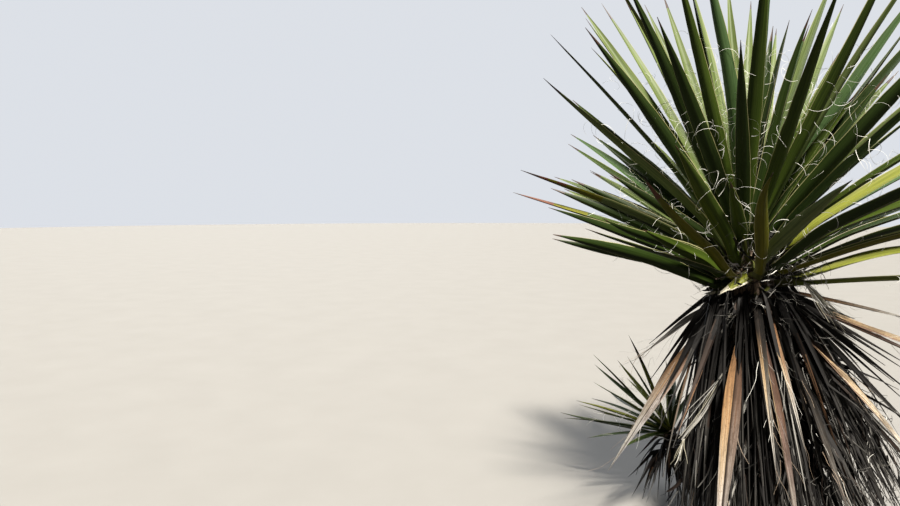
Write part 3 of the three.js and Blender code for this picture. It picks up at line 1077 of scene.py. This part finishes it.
def dead_look(rng, kind, hand):
    """Looks that change along the leaf in long ragged fingers, brighter on the hand's side: the brighter
    half is partly painted light and the duller half partly painted shade, on a side drawn at random.
    """
    middles = (DEAD_SHARES[1:] + DEAD_SHARES[:-1]) / 2
    bounds = np.cumsum(rng.dirichlet([5, 3, 4, 4, 3, 3]))[:5]
    columns = rng.normal(0, 0.06, len(DEAD_SIDES))
    ragged = columns + rng.uniform(-0.012, 0.012, (len(middles), len(DEAD_SIDES)))
    zone = (middles[:, None] + ragged > bounds[:, None, None]).sum(axis=0)
    bright, dull = ([CODES["dead_" + word] for word in words.split()] for words in kind[:2])
    return np.where(DEAD_SIDES * hand > 0, np.array(bright)[zone], np.array(dull)[zone])


def crumple(rng, share, waves):
    """Uneven waves along a leaf."""
    phases = rng.uniform(0, 2 * math.pi, 3)
    return sum(np.sin(share * waves * rng.uniform(0.5, 2.0) + phase) for phase in phases) / 3


def dead_rings(strip, rng, fold):
    """The surface of a dry leaf, folded along its middle and crumpled a little."""
    bend = fold * (0.8 + 0.3 * np.sin(math.pi * strip.share + rng.uniform(-0.5, 0.5)))[:, None]
    sides = DEAD_SIDES[None, :]
    edges = 1 + 0.1 * crumple(rng, strip.share, 9)[:, None] * (np.abs(sides) > 0.9) * np.sign(sides)
    half = strip.half[:, None] * edges
    angle = bend * (1 + 0.3 * (np.abs(sides) - 0.5)) + 0.15 * crumple(rng, strip.share, 5)[:, None]
    lift = half * np.abs(sides) * np.sin(angle) - DEAD_UNDER * DEAD_THICKNESS
    return surface(strip, half * sides, lift, np.cos(angle))


def dead_leaf(bunch, strip, rng, kind=None, fold=None):
    """A dry leaf of a kind with its looks in zones."""
    kind = kind or DEAD_KINDS[rng.choice(len(DEAD_KINDS), p=[odds for _, _, odds in DEAD_KINDS])]
    fold = rng.uniform(0.3, 1.2) * rng.choice([-1, 1]) if fold is None else fold
    rings, marks = dead_rings(strip, rng, fold)
    bunch.add(rings, shifted(marks, rng), dead_look(rng, kind, rng.choice([-1, 1])))


def hung_strip(start, end, out, bulge, roll, twist, width):
    """A strip that leaves the trunk outwards, breaks over and hangs down to its end."""
    share = DEAD_SHARES
    t = share[:, None]
    over = start + out * 0.05 + UP * 0.01
    down = lerp(start, end, 0.4) + out * bulge
    centre = (1 - t) ** 3 * start + 3 * t * (1 - t) ** 2 * over + 3 * t**2 * (1 - t) * down + t**3 * end
    tangent = unit(np.gradient(centre, axis=0))
    side = np.cross(tangent, np.broadcast_to(out, tangent.shape))
    side = rotated(unit(side), tangent, roll * smooth(share * 4) + twist * share)
    return strip_from(share, centre, side, 0.5 * width * dead_outline(share))


def hung_ends(lean, swing, length):
    """Start and end of a hanging leaf aimed from the crown's foot, and how it leaves the trunk."""
    direction = towards(180 - swing, lean)
    out = unit(direction * [1, 1, 0])
    start = trunk_at(DEAD_HEIGHT) + out * 0.07
    return start, start + direction * length, out


def dry_piece(name, strip, rng, fold, halves, delay=0.0, fold_shadow=FOLD_SHADOW, stands_for=()):
    """A dry leaf as a piece of its own, with a surface that changes along it."""
    bunch = Bunch()
    bunch.add(*dead_rings(strip, rng, fold), 0)
    piece = bunch.build(name, "dead_leaf", stands_for)
    # the brighter palette goes on the left half, which is turned to the key light: partly painted light,
    # with the duller half partly painted shade
    left = -1 if strip.side[DEAD_MIDDLE][0] > 0 else 1
    piece.data.materials[0] = aged(name, strip.length, halves, left, delay, fold_shadow)


def split_fibres(bunch, strip, rng, count):
    """Pale fibres that have come off a dead leaf's edges, most of them near its tip."""
    for _ in range(count):
        place = int(lerp(10, 31, rng.random() ** 0.7))
        hand = rng.choice([-1, 1])
        start = strip.centre[place] + strip.side[place] * hand * strip.half[place] * 0.6
        heading = unit(strip.tangent[place] + strip.side[place] * hand * rng.uniform(0, 0.25))
        look = pick(rng, ["dead_silver", "fibre", "dead_tan"])
        strand(bunch, start, heading, rng, rng.uniform(0.05, 0.2), rng.uniform(0.001, 0.0022), look, 0.35)


def solid_dead_leaves(split, rng):
    """A dry leaf in place of each dead blade."""
    for name, (bright, dull, fold, turn, breadth) in zip(named("dead_leaf_"), DRY_LEAVES):
        strip = cad_strip(name, trunk_at(DEAD_HEIGHT), CAD_LEAF_STEPS, DEAD_SHARES)
        rolled = breadth * lerp(0.22, 1.1, smooth(strip.share / ROLLED_UNTIL)) / math.cos(fold)
        withered = lerp(1, 0.55, smooth((strip.share - 0.5) / 0.5))
        strip = wavering(strip._replace(half=strip.half * rolled * withered), rng, 0.012)
        strip = turned_to(strip, FACING, turn)
        to_viewer = 1 if strip.face[DEAD_MIDDLE] @ [0, -1, 0.3] > 0 else -1
        fold_shadow = WIDE_FOLD_SHADOWS.get(name, FOLD_SHADOW)
        name, stands_for = name.replace("dead", "dry"), [name]
        dry_piece(name, strip, rng, fold * to_viewer, (bright, dull), 0.0, fold_shadow, stands_for)
        split_fibres(split, strip, rng, SPLIT_FIBRES)


def lit_dead_leaves(split, rng):
    """The lit leaves that have no solid."""
    for i, (lean, swing, length, width, bright, dull, delay) in enumerate(LIT_DEAD):
        ends = hung_ends(lean, swing, length)
        strip = hung_strip(*ends, 0.03, rng.normal(0, 0.3), rng.normal(0, 0.3), width)
        opened = strip.half * lerp(0.3, 1, smooth(strip.share / 0.4))
        strip = turned_to(wavering(strip._replace(half=opened), rng, 0.01), FACING, 0.6)
        dry_piece(f"lit_dry_leaf_{i + 1}", strip, rng, 0.55, (bright, dull), delay)
        split_fibres(split, strip, rng, LIT_SPLIT_FIBRES)


def lone_dead_leaves():
    """The dead leaves that are pieces of their own, and the fibres split from their edges."""
    rng = np.random.default_rng(31)
    split = Bunch()
    solid_dead_leaves(split, rng)
    lit_dead_leaves(split, rng)
    split.build("dry_leaf_fibres", "dead_leaf")


def skirt_end(start, angle, length, share):
    """Where a leaf of that length ends, on the surface at the share of the skirt's radius."""
    heights = np.linspace(0.012, start[2] - 0.1, 40)
    radii = skirt_radius(heights, angle) * share
    out = spherical(angle, 0)
    places = np.array([trunk_at(h) for h in heights]) + radii[:, None] * out
    gaps = np.abs(np.linalg.norm(places - start, axis=1) - length)
    return places[np.argmin(gaps)]


def aimed_dead(bunches, rng):
    for lean, swing, length, width, kind in AIMED_DEAD:
        ends = hung_ends(lean, swing, length)
        strip = hung_strip(*ends, 0.03, rng.normal(0, 0.4), rng.normal(0, 0.5), width)
        out = ends[2]
        where = sector_of(math.atan2(out[1], out[0]), SKIRT_SECTORS)
        dead_leaf(bunches[where], strip, rng, DEAD_KINDS[kind], 0.6)


def layered_dead(bunches, rng):
    """Leaves from all round the trunk: the outer ones from the crown's foot, older ones lower and
    deeper."""
    for n in range(SKIRT_LEAVES):
        depth = (n / SKIRT_LEAVES) ** 0.8
        angle = n * GOLDEN_ANGLE + rng.normal(0, 0.1)
        height = lerp(CROWN_HEIGHT + 0.05, 0.3, depth**1.3) + rng.normal(0, 0.02)
        out = spherical(angle, 0)
        start = trunk_at(height) + out * head_radius(height) * 0.95
        length = lerp(rng.uniform(0.75, 1.15), rng.uniform(0.4, 0.8), depth)
        aside = angle + rng.normal(0, 0.12)
        end = skirt_end(start, aside, length, lerp(0.97, 0.6, depth) * rng.uniform(0.86, 1.0))
        breadth = rng.choice([rng.uniform(0.3, 0.6), rng.uniform(0.7, 1.2)], p=[0.25, 0.75])
        bulge, roll, twist = rng.uniform(0.02, 0.07), rng.normal(0, 0.7), rng.normal(0, 1.2)
        strip = hung_strip(start, end, out, bulge, roll, twist, DEAD_WIDTH * breadth)
        # deeper leaves take the darkest kind more often, partly painted shade of the skirt's inside
        kind = DEAD_KINDS[-1] if rng.random() < depth * 1.3 - 0.1 else None
        dead_leaf(bunches[sector_of(angle, SKIRT_SECTORS)], wavering(strip, rng, 0.013), rng, kind)


def ragged_dead(bunches, rng):
    """Shorter, broken leaves, most of them on the skirt's right."""
    for _ in range(RAGGED_LEAVES):
        angle = rng.normal(RAGGED_SIDE, 0.55)
        height = rng.uniform(0.55, 1.04)
        out = spherical(angle, 0)
        start = trunk_at(height) + out * max(trunk_radius(height), 0.6 * skirt_radius(height, angle))
        aside = angle + rng.normal(0, 0.2)
        end = skirt_end(start, aside, rng.uniform(0.25, 0.6), rng.uniform(0.86, 1.08))
        width = DEAD_WIDTH * rng.uniform(0.3, 0.8)
        bulge, roll, twist = rng.uniform(0, 0.06), rng.normal(0, 0.8), rng.normal(0, 0.8)
        strip = hung_strip(start, end, out, bulge, roll, twist, width)
        # mostly the darkest kinds, partly painted shade of the crown over the skirt's right
        kind = DEAD_KINDS[rng.choice([2, 3, 4, 4, 4, 4])]
        dead_leaf(bunches[sector_of(angle, SKIRT_SECTORS)], wavering(strip, rng, 0.014), rng, kind)


def skirt_masses():
    """The hanging leaves, joined by sectors."""
    rng = np.random.default_rng(47)
    bunches = {name: Bunch() for name in SKIRT_SECTORS}
    for hang in (aimed_dead, layered_dead, ragged_dead):
        hang(bunches, rng)
    for name, bunch in bunches.items():
        bunch.build(f"dead_skirt_{name}", "thatch", [f"skirt_{name}"])


def in_skirt(rng, angle, height, low, high):
    """The way out from the trunk and a place in the skirt, between two shares of its radius."""
    out = spherical(angle, 0)
    return out, trunk_at(height) + out * skirt_radius(height, angle) * rng.uniform(low, high)


def ragged_angle(rng, spread, odds):
    """An angle on the skirt's broken side by the odds, or else anywhere."""
    return rng.normal(RAGGED_SIDE, spread) if rng.random() < odds else rng.uniform(0, 2 * math.pi)


def skirt_shreds():
    """Split fibres and strips that hang in the skirt."""
    rng = np.random.default_rng(53)
    bunch = Bunch()
    for _ in range(SHREDS):
        angle = ragged_angle(rng, 0.6, 0.4)
        out, start = in_skirt(rng, angle, rng.uniform(0.08, 0.97) ** 0.8, 0.55, 0.93)
        heading = out * rng.uniform(-0.1, 0.45) - UP * rng.uniform(0.8, 1.3) + rng.normal(0, 0.25, 3)
        width = rng.uniform(0.0012, 0.0036)
        length = rng.uniform(0.05, 0.22)
        strand(bunch, start, unit(heading), rng, length, width, pick(rng, SHRED_LOOKS), 0.45)
    curled_shreds(bunch)
    bunch.build("skirt_shreds", "thatch")


def curled_shreds(bunch):
    rng = np.random.default_rng(61)
    for _ in range(CURLED_SHREDS):
        angle = rng.normal(RAGGED_SIDE, 0.6)
        _, start = in_skirt(rng, angle, rng.uniform(0.2, 0.95), 0.72, 0.98)
        direction = unit(rng.normal(0, 0.6, 3) - UP * 0.6)
        axis = unit(rng.normal(size=3))
        length = rng.uniform(0.03, 0.1)
        look = pick(rng, PALE, [0.1, 0.4, 0.5])
        width = rng.uniform(0.0012, 0.0034)
        curl(bunch, start, direction, axis, length, rng.uniform(0.6, 3.0), width, look, 8)


def skirt_litter():
    """Short broken bits of old leaves that hang caught in the skirt, most of them on its right."""
    rng = np.random.default_rng(59)
    bunch = Bunch()
    taper = 1 - 0.7 * np.abs(2 * BIT_SHARES - 1) ** 2
    looks = ["dead_silver", "dead_grey", "dead_brown", "dead_dark"]
    for _ in range(LITTER):
        angle = ragged_angle(rng, 0.7, 0.6)
        out, start = in_skirt(rng, angle, rng.uniform(0.1, 0.85), 0.6, 0.88)
        direction = unit(rng.normal(0, 0.22, 3) - UP * rng.uniform(0.8, 1.4) + out * 0.25)
        strip = bit_strip(rng, start, direction, (0.05, 0.2), (0.002, 0.008), taper)
        # mostly dead_dark, partly painted shade of the skirt's right
        look = pick(rng, looks, [0.14, 0.2, 0.14, 0.52])
        litter_bit(bunch, wavering(strip, rng, 0.005), rng, look)
    bunch.build("skirt_litter", "thatch")


def bit_strip(rng, start, direction, lengths, widths, taper):
    """A short straight strip, its length and greatest half width drawn from their ranges."""
    centre = start + direction * (BIT_SHARES * rng.uniform(*lengths))[:, None]
    side = unit(np.cross(direction, rng.normal(size=3)))
    half = rng.uniform(*widths) * taper
    return strip_from(BIT_SHARES, centre, np.broadcast_to(side, centre.shape), half)


def litter_bit(bunch, strip, rng, look):
    """A flat, curled bit of a dry leaf."""
    sides = np.array([-1, 0, 1, 0])[None, :]
    under = np.array([0, 0, 0, 1])
    half = strip.half[:, None]
    lift = rng.uniform(-0.8, 0.8) * half * sides**2 - under * BIT_THICKNESS
    rings, marks = surface(strip, half * sides, lift)
    bunch.add(rings, shifted(marks, rng), look)


# The crown's foot

STUBS = 80
STUB_SHARES = np.linspace(0, 1, 9)
HANGING_STRIPS = 70
TANGLE = 130
DEBRIS = 240
NEST_FIBRES = 80

# Details that show in the photograph: a torn leaf base on the left, a frayed bundle on the right
# and a bleached leaf low on the left, each from its start to its end
TORN_BASE = np.array([[-0.111, -0.113, 1.105], [-0.198, -0.155, 1.045]])
FRAYED_BUNDLE = np.array([[0.076, -0.113, 1.099], [0.232, -0.105, 0.920]])
BLEACHED_LEAF = np.array([[-0.168, -0.153, 0.759], [-0.329, -0.247, 0.468]])
BLEACHED_FRAY = np.array([[-0.322, -0.244, 0.480], [-0.348, -0.252, 0.360]])
# Where fibres lie together, how many, and how far they spread
BUNDLES = [
    (FRAYED_BUNDLE, 44, 0.007),
    (BLEACHED_LEAF, 7, 0.003),
    (BLEACHED_FRAY, 12, 0.006),
]
NEST = np.array([0.04, -0.10, 1.145])  # the middle of the torn fibres on the right of the head
NEST_SIZE = np.array([0.05, 0.035, 0.04])


def leaf_bases(bunch, strands, rng):
    """The torn bases of old leaves, each with a few fibres at its end."""
    for n in range(STUBS):
        age = n / STUBS
        angle = n * GOLDEN_ANGLE + rng.normal(0, 0.1)
        height = lerp(1.12, 0.93, age) + rng.normal(0, 0.008)
        base = trunk_at(height) + spherical(angle, 0) * head_radius(height) * 0.85
        direction = spherical(angle + rng.normal(0, 0.15), lerp(0.8, -1.2, age) + rng.normal(0, 0.15))
        torn = rng.uniform(0.3, 0.7)
        length, width, roll = rng.uniform(0.04, 0.09), rng.uniform(0.03, 0.052), rng.normal(0, 0.15)
        strip = grown_strip(
            base, direction, length, width, 0.1, roll, STUB_SHARES, lambda share: 1 - (1 - torn) * share
        )
        tint = pick(rng, ["dead_dark", "dead_brown", "leaf_base"], [0.6, 0.22, 0.18])
        end = pick(rng, ["leaf_torn", "dead_silver", "dead_grey", "dead_dark"], [0.1, 0.2, 0.35, 0.35])
        stub(bunch, strip, rng, tint, end)
        for _ in range(4):
            start = strip.centre[-1] + strip.side[-1] * strip.half[-1] * rng.uniform(-0.9, 0.9)
            heading = unit(direction + rng.normal(0, 0.5, 3) - UP * 0.3)
            width = rng.uniform(0.0012, 0.0028)
            look = pick(rng, PALE, [0.3, 0.3, 0.4])
            strand(strands, start, heading, rng, rng.uniform(0.03, 0.1), width, look, 0.8)


def hanging_strips(strands, rng):
    for n in range(HANGING_STRIPS):
        angle = n * GOLDEN_ANGLE
        height = rng.uniform(0.98, 1.07)
        out = spherical(angle, 0)
        start = trunk_at(height) + out * head_radius(height) * rng.uniform(0.95, 1.1)
        look = pick(rng, ["dead_dark", "dead_grey", "dead_silver", "fibre"], [0.35, 0.35, 0.2, 0.1])
        length, width = rng.uniform(0.1, 0.34), rng.uniform(0.0015, 0.006)
        strand(strands, start, unit(out * 0.25 - UP), rng, length, width, look, 0.35)


def nest(strands, rng):
    """The torn fibres on the right of the head."""
    for _ in range(NEST_FIBRES):
        heading = unit(rng.normal(0, 0.7, 3) + [0.6, 0, -0.4])
        look = pick(rng, PALE, [0.2, 0.5, 0.3])
        width = rng.uniform(0.0012, 0.004)
        start = rng.normal(NEST, NEST_SIZE)
        strand(strands, start, heading, rng, rng.uniform(0.04, 0.12), width, look, 0.8)


def crown_foot():
    """The torn bases of old leaves that hide the trunk where the green leaves end, and their fibres."""
    rng = np.random.default_rng(67)
    bunch = Bunch()
    strands = Bunch()
    leaf_bases(bunch, strands, rng)
    torn_base(bunch, rng)
    hanging_strips(strands, rng)
    for ends, count, spread in BUNDLES:
        bundle(strands, ends, count, spread, rng)
    nest(strands, rng)
    bleached_leaf(bunch, rng)
    bunch.build("old_leaf_bases", "thatch")
    strands.build("crown_foot_fibres", "thatch")


def crown_tangle(fibres):
    """Loose fibres, caught between the green leaves where they start."""
    rng = np.random.default_rng(71)
    for _ in range(TANGLE):
        angle = rng.uniform(0, 2 * math.pi)
        rise = rng.uniform(-0.05, 1.1)
        out = spherical(angle, rise)
        start = trunk_at(1.07 + 0.1 * math.sin(rise)) + out * rng.uniform(0.08, 0.26)
        direction = unit(rng.normal(size=3) + out * 0.5)
        axis = unit(rng.normal(size=3))
        # greyer and darker than the leaves' fibres, partly painted shade of the crown's heart
        look = pick(rng, PALE_AND_DARK, [0.1, 0.25, 0.4, 0.25])
        width = FIBRE_WIDTH * rng.uniform(0.4, 1.1)
        curl(fibres, start, direction, axis, rng.uniform(0.04, 0.14), rng.uniform(0.4, 3.0), width, look, 8)
    crown_debris(fibres, rng)


def crown_debris(fibres, rng):
    """Bits of old leaves, caught in the same place."""
    taper = 1 - 0.6 * BIT_SHARES
    looks = ["dead_dark", "dead_brown", "leaf_base", "dead_grey"]
    for _ in range(DEBRIS):
        out = spherical(rng.uniform(0, 2 * math.pi), rng.uniform(0.1, 1.2))
        start = trunk_at(rng.uniform(1.05, 1.15)) + out * rng.uniform(0.06, 0.14)
        direction = unit(out + rng.normal(0, 0.35, 3))
        strip = bit_strip(rng, start, direction, (0.05, 0.16), (0.004, 0.012), taper)
        strip = wavering(strip, rng, 0.01)
        # mostly dead_dark, partly painted shade of the crown's heart
        litter_bit(fibres, strip, rng, pick(rng, looks, [0.5, 0.15, 0.2, 0.15]))


def bundle(bunch, ends, count, spread, rng):
    """Fibres that lie together between two places and spread out as they go."""
    start, end = ends
    length = np.linalg.norm(end - start)
    for _ in range(count):
        place = start + rng.normal(0, spread * 0.4, 3)
        heading = unit(end + rng.normal(0, spread * 1.6, 3) - place)
        look = pick(rng, ["dead_silver", "leaf_torn", "fibre"])
        reach, width = length * rng.uniform(0.5, 1.05), rng.uniform(0.0015, 0.0045)
        strand(bunch, place, heading, rng, reach, width, look, 0.18)


def straight(ends, share, facing):
    """The middle line and the sides of a strip between two places."""
    start, end = ends
    centre = lerp(start, end, share[:, None])
    return centre, np.broadcast_to(unit(np.cross(end - start, facing)), centre.shape)


def torn_base(bunch, rng):
    """A pale leaf base, torn off short, with a green middle."""
    centre, side = straight(TORN_BASE, STUB_SHARES, [0.3, -1, 0.4])
    strip = strip_from(STUB_SHARES, centre, side, 0.024 * (1 - 0.75 * STUB_SHARES**1.5))
    stub(bunch, strip, rng, CODES["green_yellow"], CODES["leaf_torn"], CODES["leaf_torn"])


def bleached_leaf(bunch, rng):
    """A grey-white leaf, frayed at its end, that hangs in front of the darker ones."""
    centre, side = straight(BLEACHED_LEAF, DEAD_SHARES, [0.3, -1, 0.2])
    half = 0.0105 * lerp(0.4, 1, smooth(DEAD_SHARES * 1.6)) * lerp(1, 0.35, smooth(DEAD_SHARES * 3 - 2))
    strip = wavering(strip_from(DEAD_SHARES, centre, side, half), rng, 0.01)
    dead_leaf(bunch, strip, rng, BLEACHED_KIND, 0.5)


def stub(bunch, strip, rng, look, end, margin=None):
    """A broad leaf base that clasps the head and ends in a tear."""
    sides = LEAF_SIDES[None, :]
    half = strip.half[:, None]
    cup = 1.1 * (1 - 0.4 * strip.share)[:, None]
    thick = lerp(0.006, 0.002, strip.share)[:, None]
    tear = np.zeros((len(strip.share), len(LEAF_SIDES)))
    ragged = rng.uniform(-0.25, 0.25, 7)
    tear[-1] = np.interp(LEAF_SIDES, np.linspace(-1, 1, 7), ragged) * strip.length
    tear[-2] = 0.6 * tear[-1]
    rings, marks = surface(strip, half * sides, cup * half * sides**2 - under_side(sides, thick))
    rings = rings + strip.tangent[:, None] * tear[..., None]
    codes = np.full((len(strip.share) - 1, len(LEAF_SIDES)), look)
    if margin is not None:
        codes[:, np.abs(LEAF_SIDES) > 0.8] = margin
    codes[-2:] = end
    bunch.add(rings, shifted(marks, rng), codes)


# Trunk and offset

TRUNK_AROUND = 96
TRUNK_STEPS = 150
OFFSET_STEM_RADIUS = 0.031
# Plates of bark per metre, how far they, their grain and the whole bark are raised
PLATES_ACROSS = 26
PLATES_ALONG = 14
PLATE_RELIEF = 0.007
GRAIN_RELIEF = 0.003
BARK_RAISED = -0.008


def bark_relief(point):
    """How far the bark stands out at a point: cracked plates and the scars of old leaves."""
    stretched = Vector((point[0] * PLATES_ACROSS, point[1] * PLATES_ACROSS, point[2] * PLATES_ALONG))
    cracks = noise.voronoi(stretched)[0]
    plates = min(1.0, (cracks[1] - cracks[0]) * 3)
    rough = noise.fractal(stretched * 2.2, 1.0, 2.0, 4)
    return PLATE_RELIEF * plates + GRAIN_RELIEF * rough + BARK_RAISED


def trunk_piece():
    tree = tree_of(["trunk"])
    heights = np.linspace(0, TRUNK[0][-1] - 0.004, TRUNK_STEPS)
    rings = np.zeros((TRUNK_STEPS, TRUNK_AROUND, 3))
    marks = np.zeros((TRUNK_STEPS, TRUNK_AROUND, 2))
    for i, height in enumerate(heights):
        middle = Vector(trunk_at(height))
        probe = Vector((middle.x, middle.y, max(height, 0.002)))
        for j in range(TRUNK_AROUND):
            angle = 2 * math.pi * j / TRUNK_AROUND
            out = Vector(spherical(angle, 0))
            radius = max(met_at(tree, probe, out, 0.4, 0.01), np.interp(height, HEAD_HEIGHTS, HEAD_RADII))
            place = middle + out * radius
            rings[i, j] = place + out * bark_relief(place) * min(1, radius / 0.05)
            marks[i, j] = (angle * radius, height)
    bunch = Bunch()
    bunch.add(rings, marks, CODES["bark"])
    return bunch.build("bark_trunk", "bark", ["trunk"], sharp=80)


def offset_plant(fibres):
    """The offset's stem, its leaves with solids of their own, and the leaves of its heart."""
    rng = np.random.default_rng(61)
    low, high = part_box("offset_heart")
    heart = np.array((low + high) / 2)
    share = lerp(0.02, 1, LEAF_SHARES)
    for name in named("offset_leaf_"):
        strip = cad_strip(name, heart, CAD_OFFSET_STEPS, share)
        bunch = Bunch()
        strip, cup = green_leaf(bunch, strip, rng, "green_deep", OFFSET_LEAF_THICKNESS)
        bunch.build(name.replace("offset_leaf", "young_leaf"), "green_leaf", [name])
        leaf_fibres(fibres, strip, cup, rng, OFFSET_FIBRES)
    bunch = Bunch()
    for lean, swing, length in AIMED_OFFSET:
        width = OFFSET_LEAF_WIDTH * rng.uniform(0.8, 1.1)
        roll = rng.uniform(-0.5, 0.5)
        strip = grown_strip(heart, towards(swing, lean), length, width, 0.05, roll, share)
        tint = rng.choice(["green_deep", "green_yellow", "green_mid"])
        strip, cup = green_leaf(bunch, strip, rng, tint, OFFSET_LEAF_THICKNESS)
        leaf_fibres(fibres, strip, cup, rng, OFFSET_FIBRES)
    bunch.build("young_heart", "leaf_heart", ["offset_heart"])
    offset_stem(heart)
    offset_skirt(heart, rng)


def offset_skirt(heart, rng):
    """Small dead leaves that hide the offset's stem."""
    bunch = Bunch()
    for n in range(OFFSET_DEAD):
        angle = n * GOLDEN_ANGLE
        out = spherical(angle, 0)
        start = heart - UP * rng.uniform(0.0, 0.12) + out * 0.03
        length = rng.uniform(0.16, 0.34)
        end = start + unit(out * rng.uniform(0.25, 0.9) - UP) * length
        end[2] = max(end[2], 0.012)
        roll, twist = rng.normal(0, 0.7), rng.normal(0, 1.0)
        width = OFFSET_LEAF_WIDTH * rng.uniform(0.5, 1.0)
        strip = hung_strip(start, end, out, 0.02, roll, twist, width)
        dead_leaf(bunch, wavering(strip, rng, 0.01), rng, DEAD_KINDS[rng.choice([1, 2, 3, 4])])
    bunch.build("offset_dead_leaves", "thatch")


def offset_stem(heart):
    """A barked stem through the rings of its solid."""
    points = node_points("offset_stem")
    start = points[np.argmin(np.linalg.norm(points[:, :2], axis=1))] * [1, 1, 0] + [0, 0, 0.05]
    foot = heart * [1, 1, 0] + [0, 0, 0.04]
    t = np.linspace(0, 1, 40)[:, None]
    centre = (1 - t) ** 2 * start + 2 * t * (1 - t) * foot + t**2 * heart
    tangent = unit(np.gradient(centre, axis=0))
    side = np.broadcast_to(unit(np.cross(foot - start, UP)), tangent.shape)
    face = np.cross(side, tangent)
    angles = np.linspace(0, 2 * math.pi, 24, endpoint=False)
    rings = np.zeros((len(t), len(angles), 3))
    for i in range(len(t)):
        for j, angle in enumerate(angles):
            out = math.cos(angle) * side[i] - math.sin(angle) * face[i]
            place = centre[i] + out * OFFSET_STEM_RADIUS * lerp(0.85, 1, t[i, 0])
            rings[i, j] = place + out * bark_relief(place) * 0.6
    marks = np.zeros((len(t), len(angles), 2))
    bunch = Bunch()
    bunch.add(rings, marks, CODES["bark"])
    bunch.build("offset_bark", "bark", ["offset_stem"], sharp=80)


# Stage, light and camera

FLOOR_RADIUS = 40
WORLD_LIGHT = (0.024, 0.026, 0.029, 1)
BACKDROP = (0.72, 0.75, 0.80, 1)
# Name, azimuth from +X, rise, strength, spread and colour of each light: the key comes from the
# right and the front, the fill from behind on the left
LIGHTS = [
    ("key", -60, 58, 9, 9, (1.0, 0.95, 0.86)),
    ("fill", 130, 40, 3.0, 70, (0.88, 0.93, 1.0)),
]
EYE = (-0.11, -3.05, 1.40)
EYE_DOWN = 4.33  # degrees below the horizontal
EYE_LEFT = 23.2  # degrees left of +Y
SENSOR_WIDTH = 36
FOCAL_LENGTH = 28


def stage():
    mesh = bpy.data.meshes.new("floor")
    angles = np.linspace(0, 2 * math.pi, 96, endpoint=False)
    rim = [(FLOOR_RADIUS * math.cos(a), FLOOR_RADIUS * math.sin(a), 0) for a in angles]
    mesh.from_pydata(rim, [], [list(range(len(rim)))])
    mesh.materials.append(floor_material())
    link("floor", mesh)


def lights():
    world = bpy.data.worlds.new("studio")
    world.use_nodes = True
    tree = world.node_tree
    seen = add_node(tree, "LightPath").outputs["Is Camera Ray"]
    feed(tree, tree.nodes["Background"], {"Color": mixed(tree, WORLD_LIGHT, BACKDROP, seen)})
    bpy.context.scene.world = world
    for name, azimuth, rise, strength, spread, colour in LIGHTS:
        light = bpy.data.lights.new(name, "SUN")
        light.angle = math.radians(spread)
        light.energy = strength
        light.color = colour
        source = spherical(math.radians(azimuth), math.radians(rise))
        holder = link(name, light)
        holder.rotation_mode = "QUATERNION"
        holder.rotation_quaternion = Vector(-source).to_track_quat("-Z", "Y")
    bpy.context.scene.view_settings.view_transform = "Standard"


def camera():
    data = bpy.data.cameras.new("camera")
    data.sensor_width = SENSOR_WIDTH
    data.lens = FOCAL_LENGTH
    holder = link("camera", data)
    holder.location = EYE
    holder.rotation_euler = (math.radians(90 - EYE_DOWN), 0, math.radians(EYE_LEFT))
    bpy.context.scene.camera = holder


camera()
lights()
stage()
leaf_threads = Bunch()
crown_directions = solid_leaves(leaf_threads)
offset_plant(leaf_threads)
crown_tangle(leaf_threads)
leaf_threads.build("leaf_fibres", "green_leaf")
heart_threads = Bunch()
crown_masses(crown_directions, heart_threads)
heart_threads.build("heart_fibres", "leaf_heart")
lone_dead_leaves()
skirt_masses()
skirt_shreds()
skirt_litter()
crown_foot()
trunk_piece()
